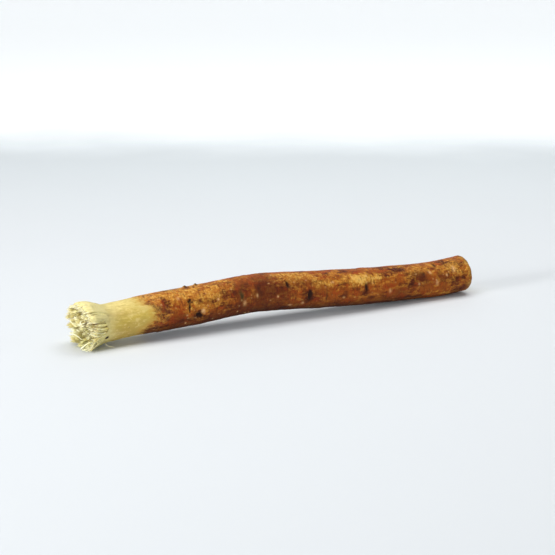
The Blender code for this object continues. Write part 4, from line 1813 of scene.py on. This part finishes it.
    def build_kind(self, kind: FibreKind) -> bpy.types.Object:
        """Build one kind of fibre.

        Args:
            kind: The kind.

        Returns:
            The piece.
        """
        draw = np.random.RandomState(kind.seed)
        form = self.form
        is_core = kind.width > 1.0
        share = np.sqrt(draw.uniform(kind.inner**2, kind.outer**2, kind.count))
        root_angle = draw.uniform(0.0, 360.0, kind.count)
        root = self.flat_points(form.neck_radius * share, root_angle)
        locks = self.lock_table()
        hearts = self.flat_points(locks["radius"], locks["angle"])
        lock = ((root[:, None] - hearts[None]) ** 2).sum(-1).argmin(1)
        locks = {label: values[lock] for label, values in locks.items()}
        full_x = form.tip_x.at(root_angle)
        tip_x = full_x + self.dish * (1 - np.minimum(share / 0.84, 1.0)) ** 2
        tip_x += locks["shorter"] + kind.shorter * np.abs(draw.normal(0.0, self.end_scatter, kind.count))
        sink = self.sink_at_hollows(self.flat_points(share * form.flare(full_x, root_angle), root_angle))
        tip_x = np.minimum(tip_x + sink, self.shallowest_end_x)
        if is_core:
            scatter = self.core_end_scatter
            tip_x = self.core_end_x + draw.uniform(-scatter, scatter, kind.count)
        part = np.linspace(0.0, 1.0, kind.steps + 1)[None, :]
        x = self.root_x + (tip_x[:, None] - self.root_x) * part
        grown = np.clip((x - form.neck_x) / (full_x - form.neck_x)[:, None], 0.0, 1.2)
        bend_round = locks["bend_round"][:, None] * grown**2
        bend_out = locks["bend_out"][:, None] * grown**2
        angle = root_angle[:, None] + bend_round
        hidden = self.outer_sink * blend(0.9, 1.0, share)[:, None] * (1 - blend(-59.0, -62.0, x))
        radius = share[:, None] * form.flare(x, angle) - self.inset - hidden
        radius += bend_out * (1 - 0.6 * blend(0.7, 0.95, share))[:, None]
        spots = self.flat_points(radius, angle)
        heart_angle = locks["angle"][:, None] + bend_round
        heart = locks["radius"][:, None] / form.neck_radius * form.flare(x, heart_angle) - self.inset
        heart += bend_out
        gather = kind.gather * np.minimum(1.4 * grown, 1.0) * (1 - 0.5 * blend(0.75, 1.05, grown))
        loose = 1 - 0.5 * blend(0.75, 0.97, share)[:, None]
        spots += (self.flat_points(heart, heart_angle) - spots) * (loose * gather)[..., None]
        spots += locks["pull"][:, None] * (1.4 * loose * grown**1.5)[..., None]
        spots *= (1 + self.fullness * grown**2)[..., None]
        moved, wave = self.wander(grown, draw)
        spots += kind.wander * moved
        far = np.linalg.norm(spots, axis=-1)
        limit = form.flare(x, np.degrees(np.arctan2(spots[..., 0], spots[..., 1]))) + self.slack
        spots *= (soft_least(far, limit, self.slack_softness) / np.maximum(far, 0.3))[..., None]
        x = x + 0.2 * kind.wander * (wave[:, 0] - wave[:, 1]) * grown
        height = self.lay(form.height.at(x) + spots[..., 1], 0.5 * kind.thickness + 0.03)
        paths = np.stack([x, self.hold(form.side.at(x) - spots[..., 0]), height], -1)
        taper = 1 - (0.35 if is_core else 0.85) * part**4 + 0 * x
        turn = np.radians(root_angle)
        out = np.stack([0 * turn, -np.sin(turn), np.cos(turn)], -1)
        points, faces = wrap_tubes(paths, kind.width * taper, kind.thickness * taper, kind.sides, out)
        each = (kind.steps + 1) * kind.sides
        # Painted highlight on the fibres at the top of the brush.
        top_painted_light = np.exp(-((((root_angle + 190.0) % 360.0 - 180.0) / 50.0) ** 2)) * blend(0.45, 0.8, share)
        shade = draw.uniform(-0.6, 0.6, kind.count) + locks["shade"] + self.painted_top_highlight * top_painted_light
        shade = np.clip(shade, -1.0, 1.4)
        green = self.green.at(root_angle) * draw.uniform(0.4, 1.0, kind.count)
        reach = np.repeat(grown.ravel(), kind.sides)
        # Painted shade: inner fibres, the cores and fibres that end in a hollow count as deep.
        depth = np.ones(kind.count) if is_core else np.clip(np.maximum(1.25 - share, sink), 0.0, 1.3)
        fields = fibre_fields(kind.count, each, shade, green, reach, depth)
        return make_mesh(kind.name, points, faces, fields)

    def build_strands(self) -> bpy.types.Object:
        """Build the fibres that can be told from the rest.

        Returns:
            The piece.
        """
        part = np.linspace(0.0, 1.0, self.strand_stations)
        paths = []
        for strand in self.strands:
            course = np.array(strand.course)
            places = np.linspace(0.0, 1.0, len(course))
            paths.append(np.stack([curve_through(*zip(places, axis)).at(part) for axis in course.T], -1))
        width = np.array([strand.width for strand in self.strands])[:, None] * (1 - 0.6 * part**3)
        out = np.tile([-0.4, -0.5, 0.75], (len(paths), 1))
        sides = self.strand_sides
        points, faces = wrap_tubes(np.array(paths), width, 0.35 * width, sides, out)
        shade = np.array([strand.shade for strand in self.strands])
        flat = np.zeros(len(shade))
        reach = np.repeat(0.6 + 0.4 * part, sides)
        fields = fibre_fields(len(shade), sides * len(part), shade, flat, reach, flat)
        return make_mesh("brush_strands", points, faces, fields)

    @staticmethod
    def flat_points(radius: np.ndarray, angle: np.ndarray) -> np.ndarray:
        """Sideways and upward parts of a radius at an angle."""
        turn = np.radians(angle)
        return np.stack([radius * np.sin(turn), radius * np.cos(turn)], -1)


@dataclass(frozen=True)
class Softbox:
    """A soft rectangular light that faces its aim. Lengths are in metres and power in watts."""

    name: str
    place: Place
    size: Range
    power: float
    tone: Colour = (1.0, 0.99, 0.97)
    aim: Place = (0.0, 0.0, 0.0)

    def build(self) -> None:
        """Add the light to the scene."""
        data = bpy.data.lights.new(self.name, "AREA")
        data.shape = "RECTANGLE"
        data.size, data.size_y = self.size
        data.energy = self.power
        data.color = self.tone
        lamp = bpy.data.objects.new(self.name, data)
        lamp.location = self.place
        lamp.rotation_euler = (Vector(self.aim) - Vector(self.place)).to_track_quat("-Z", "Y").to_euler()
        bpy.context.scene.collection.objects.link(lamp)


@dataclass
class Studio:
    """The pale floor, the soft light and the camera. Lengths are in metres here."""

    camera_place: Place = (-0.2330, -0.4198, 0.1326)
    tilt_deg: float = 14.0
    heading_deg: float = 28.88
    lens: float = 105.0
    floor_tone: Colour = srgb(217, 222, 227)
    backdrop_tone: Colour = srgb(224, 232, 237)
    fade_from_to: Range = (0.1, 0.4)
    glow: float = 0.55
    glow_from_to: Range = (0.3, 0.46)
    unevenness: float = 0.05
    floor_from_to: Range = (-1.5, 1.1)
    floor_half_width: float = 1.8
    bend_radius: float = 0.5
    backdrop_top: float = 1.6
    lights: tuple[Softbox, ...] = (
        Softbox("overhead", (0.0, 0.04, 0.55), (0.85, 0.42), 3.45, tone=(1.0, 0.985, 0.96)),
        Softbox("front_fill", (-0.85, -0.65, 0.2), (0.9, 0.5), 4.6),
        Softbox("brush_fill", (-0.9, -0.12, 0.2), (0.2, 0.2), 6.7, aim=(-0.06, 0.0, 0.0)),
        Softbox("right_fill", (0.85, -0.6, 0.3), (0.6, 0.5), 1.5),
    )
    sky_tone: Colour = (0.93, 0.97, 1.0)
    sky_strength: float = 0.13

    def build(self) -> None:
        """Set up all of it."""
        self.add_floor()
        for light in self.lights:
            light.build()
        self.add_surroundings()
        self.add_camera()
        bpy.context.scene.view_settings.view_transform = "Standard"

    def add_floor(self) -> None:
        """A floor that curves up into a backdrop."""
        turn = math.radians(self.heading_deg)
        ahead = np.array([math.sin(turn), math.cos(turn), 0.0])
        right = np.array([math.cos(turn), -math.sin(turn), 0.0])
        front, back = self.floor_from_to
        bend = self.bend_radius
        profile = [(front, 0.0), (back, 0.0)]
        for rise in np.radians(np.arange(6, 91, 6)):
            profile.append((back + bend * math.sin(rise), bend * (1 - math.cos(rise))))
        profile.append((back + bend, self.backdrop_top))
        points = [
            ahead * far + right * side + np.array([0, 0, high])
            for far, high in profile
            for side in (-self.floor_half_width, self.floor_half_width)
        ]
        faces = [(2 * k, 2 * k + 1, 2 * k + 3, 2 * k + 2) for k in range(len(profile) - 1)]
        floor = make_mesh("floor", np.array(points) / MM, faces, {})
        floor.data.materials.append(self.floor_material(ahead))

    def floor_material(self, ahead: np.ndarray) -> bpy.types.Material:
        """A pale matt finish that fades to the backdrop's tone, which glows faintly.

        Args:
            ahead: The level direction that the backdrop stands in.

        Returns:
            The material.
        """
        material, wires, shader, place = open_material("pale_floor")
        distance = wires.node("ShaderNodeVectorMath", operation="DOT_PRODUCT")
        wires.feed(distance.inputs[0], place)
        wires.feed(distance.inputs[1], ahead.tolist())
        soft = wires.math("MULTIPLY", wires.cloud(place, 60.0, 2.0), self.unevenness)
        far = wires.math("ADD", distance.outputs["Value"], soft)
        glow = wires.mix(wires.ramp(*self.glow_from_to, far), (0.0, 0.0, 0.0), (1.0, 1.0, 1.0))
        wires.fill(
            shader,
            Base_Color=wires.mix(wires.ramp(*self.fade_from_to, far), self.floor_tone, self.backdrop_tone),
            Emission_Color=glow,
            Emission_Strength=self.glow,
            Roughness=0.7,
            Specular_IOR_Level=0.2,
        )
        return material

    def add_surroundings(self) -> None:
        """A weak pale light from all round."""
        world = bpy.data.worlds.new("pale_room")
        bpy.context.scene.world = world
        world.use_nodes = True
        sky = world.node_tree.nodes["Background"]
        sky.inputs["Color"].default_value = (*self.sky_tone, 1.0)
        sky.inputs["Strength"].default_value = self.sky_strength

    def add_camera(self) -> None:
        """The camera, at the photograph's viewing angle."""
        data = bpy.data.cameras.new("camera")
        data.lens = self.lens
        data.sensor_width = 36.0
        data.clip_start = 0.01
        camera = bpy.data.objects.new("camera", data)
        camera.location = self.camera_place
        camera.rotation_euler = (math.radians(90.0 - self.tilt_deg), 0.0, -math.radians(self.heading_deg))
        bpy.context.scene.collection.objects.link(camera)
        bpy.context.scene.camera = camera


def main() -> None:
    """Build the stick and its studio, in order."""
    logging.basicConfig(level=logging.INFO, format="%(message)s")
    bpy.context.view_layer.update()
    form = StickForm()
    effects = Effects()
    Studio().build()
    pieces = [
        BarkSkin(form).build(BarkFinish(effects).make()),
        PeeledWood(form).build(WoodFinish(effects).make()),
        *Brush(form).build(FibreFinish(effects).make()),
    ]
    for piece in pieces:
        log.info("%s: %d faces", piece.name, len(piece.data.polygons))


if __name__ == "__main__":
    main()
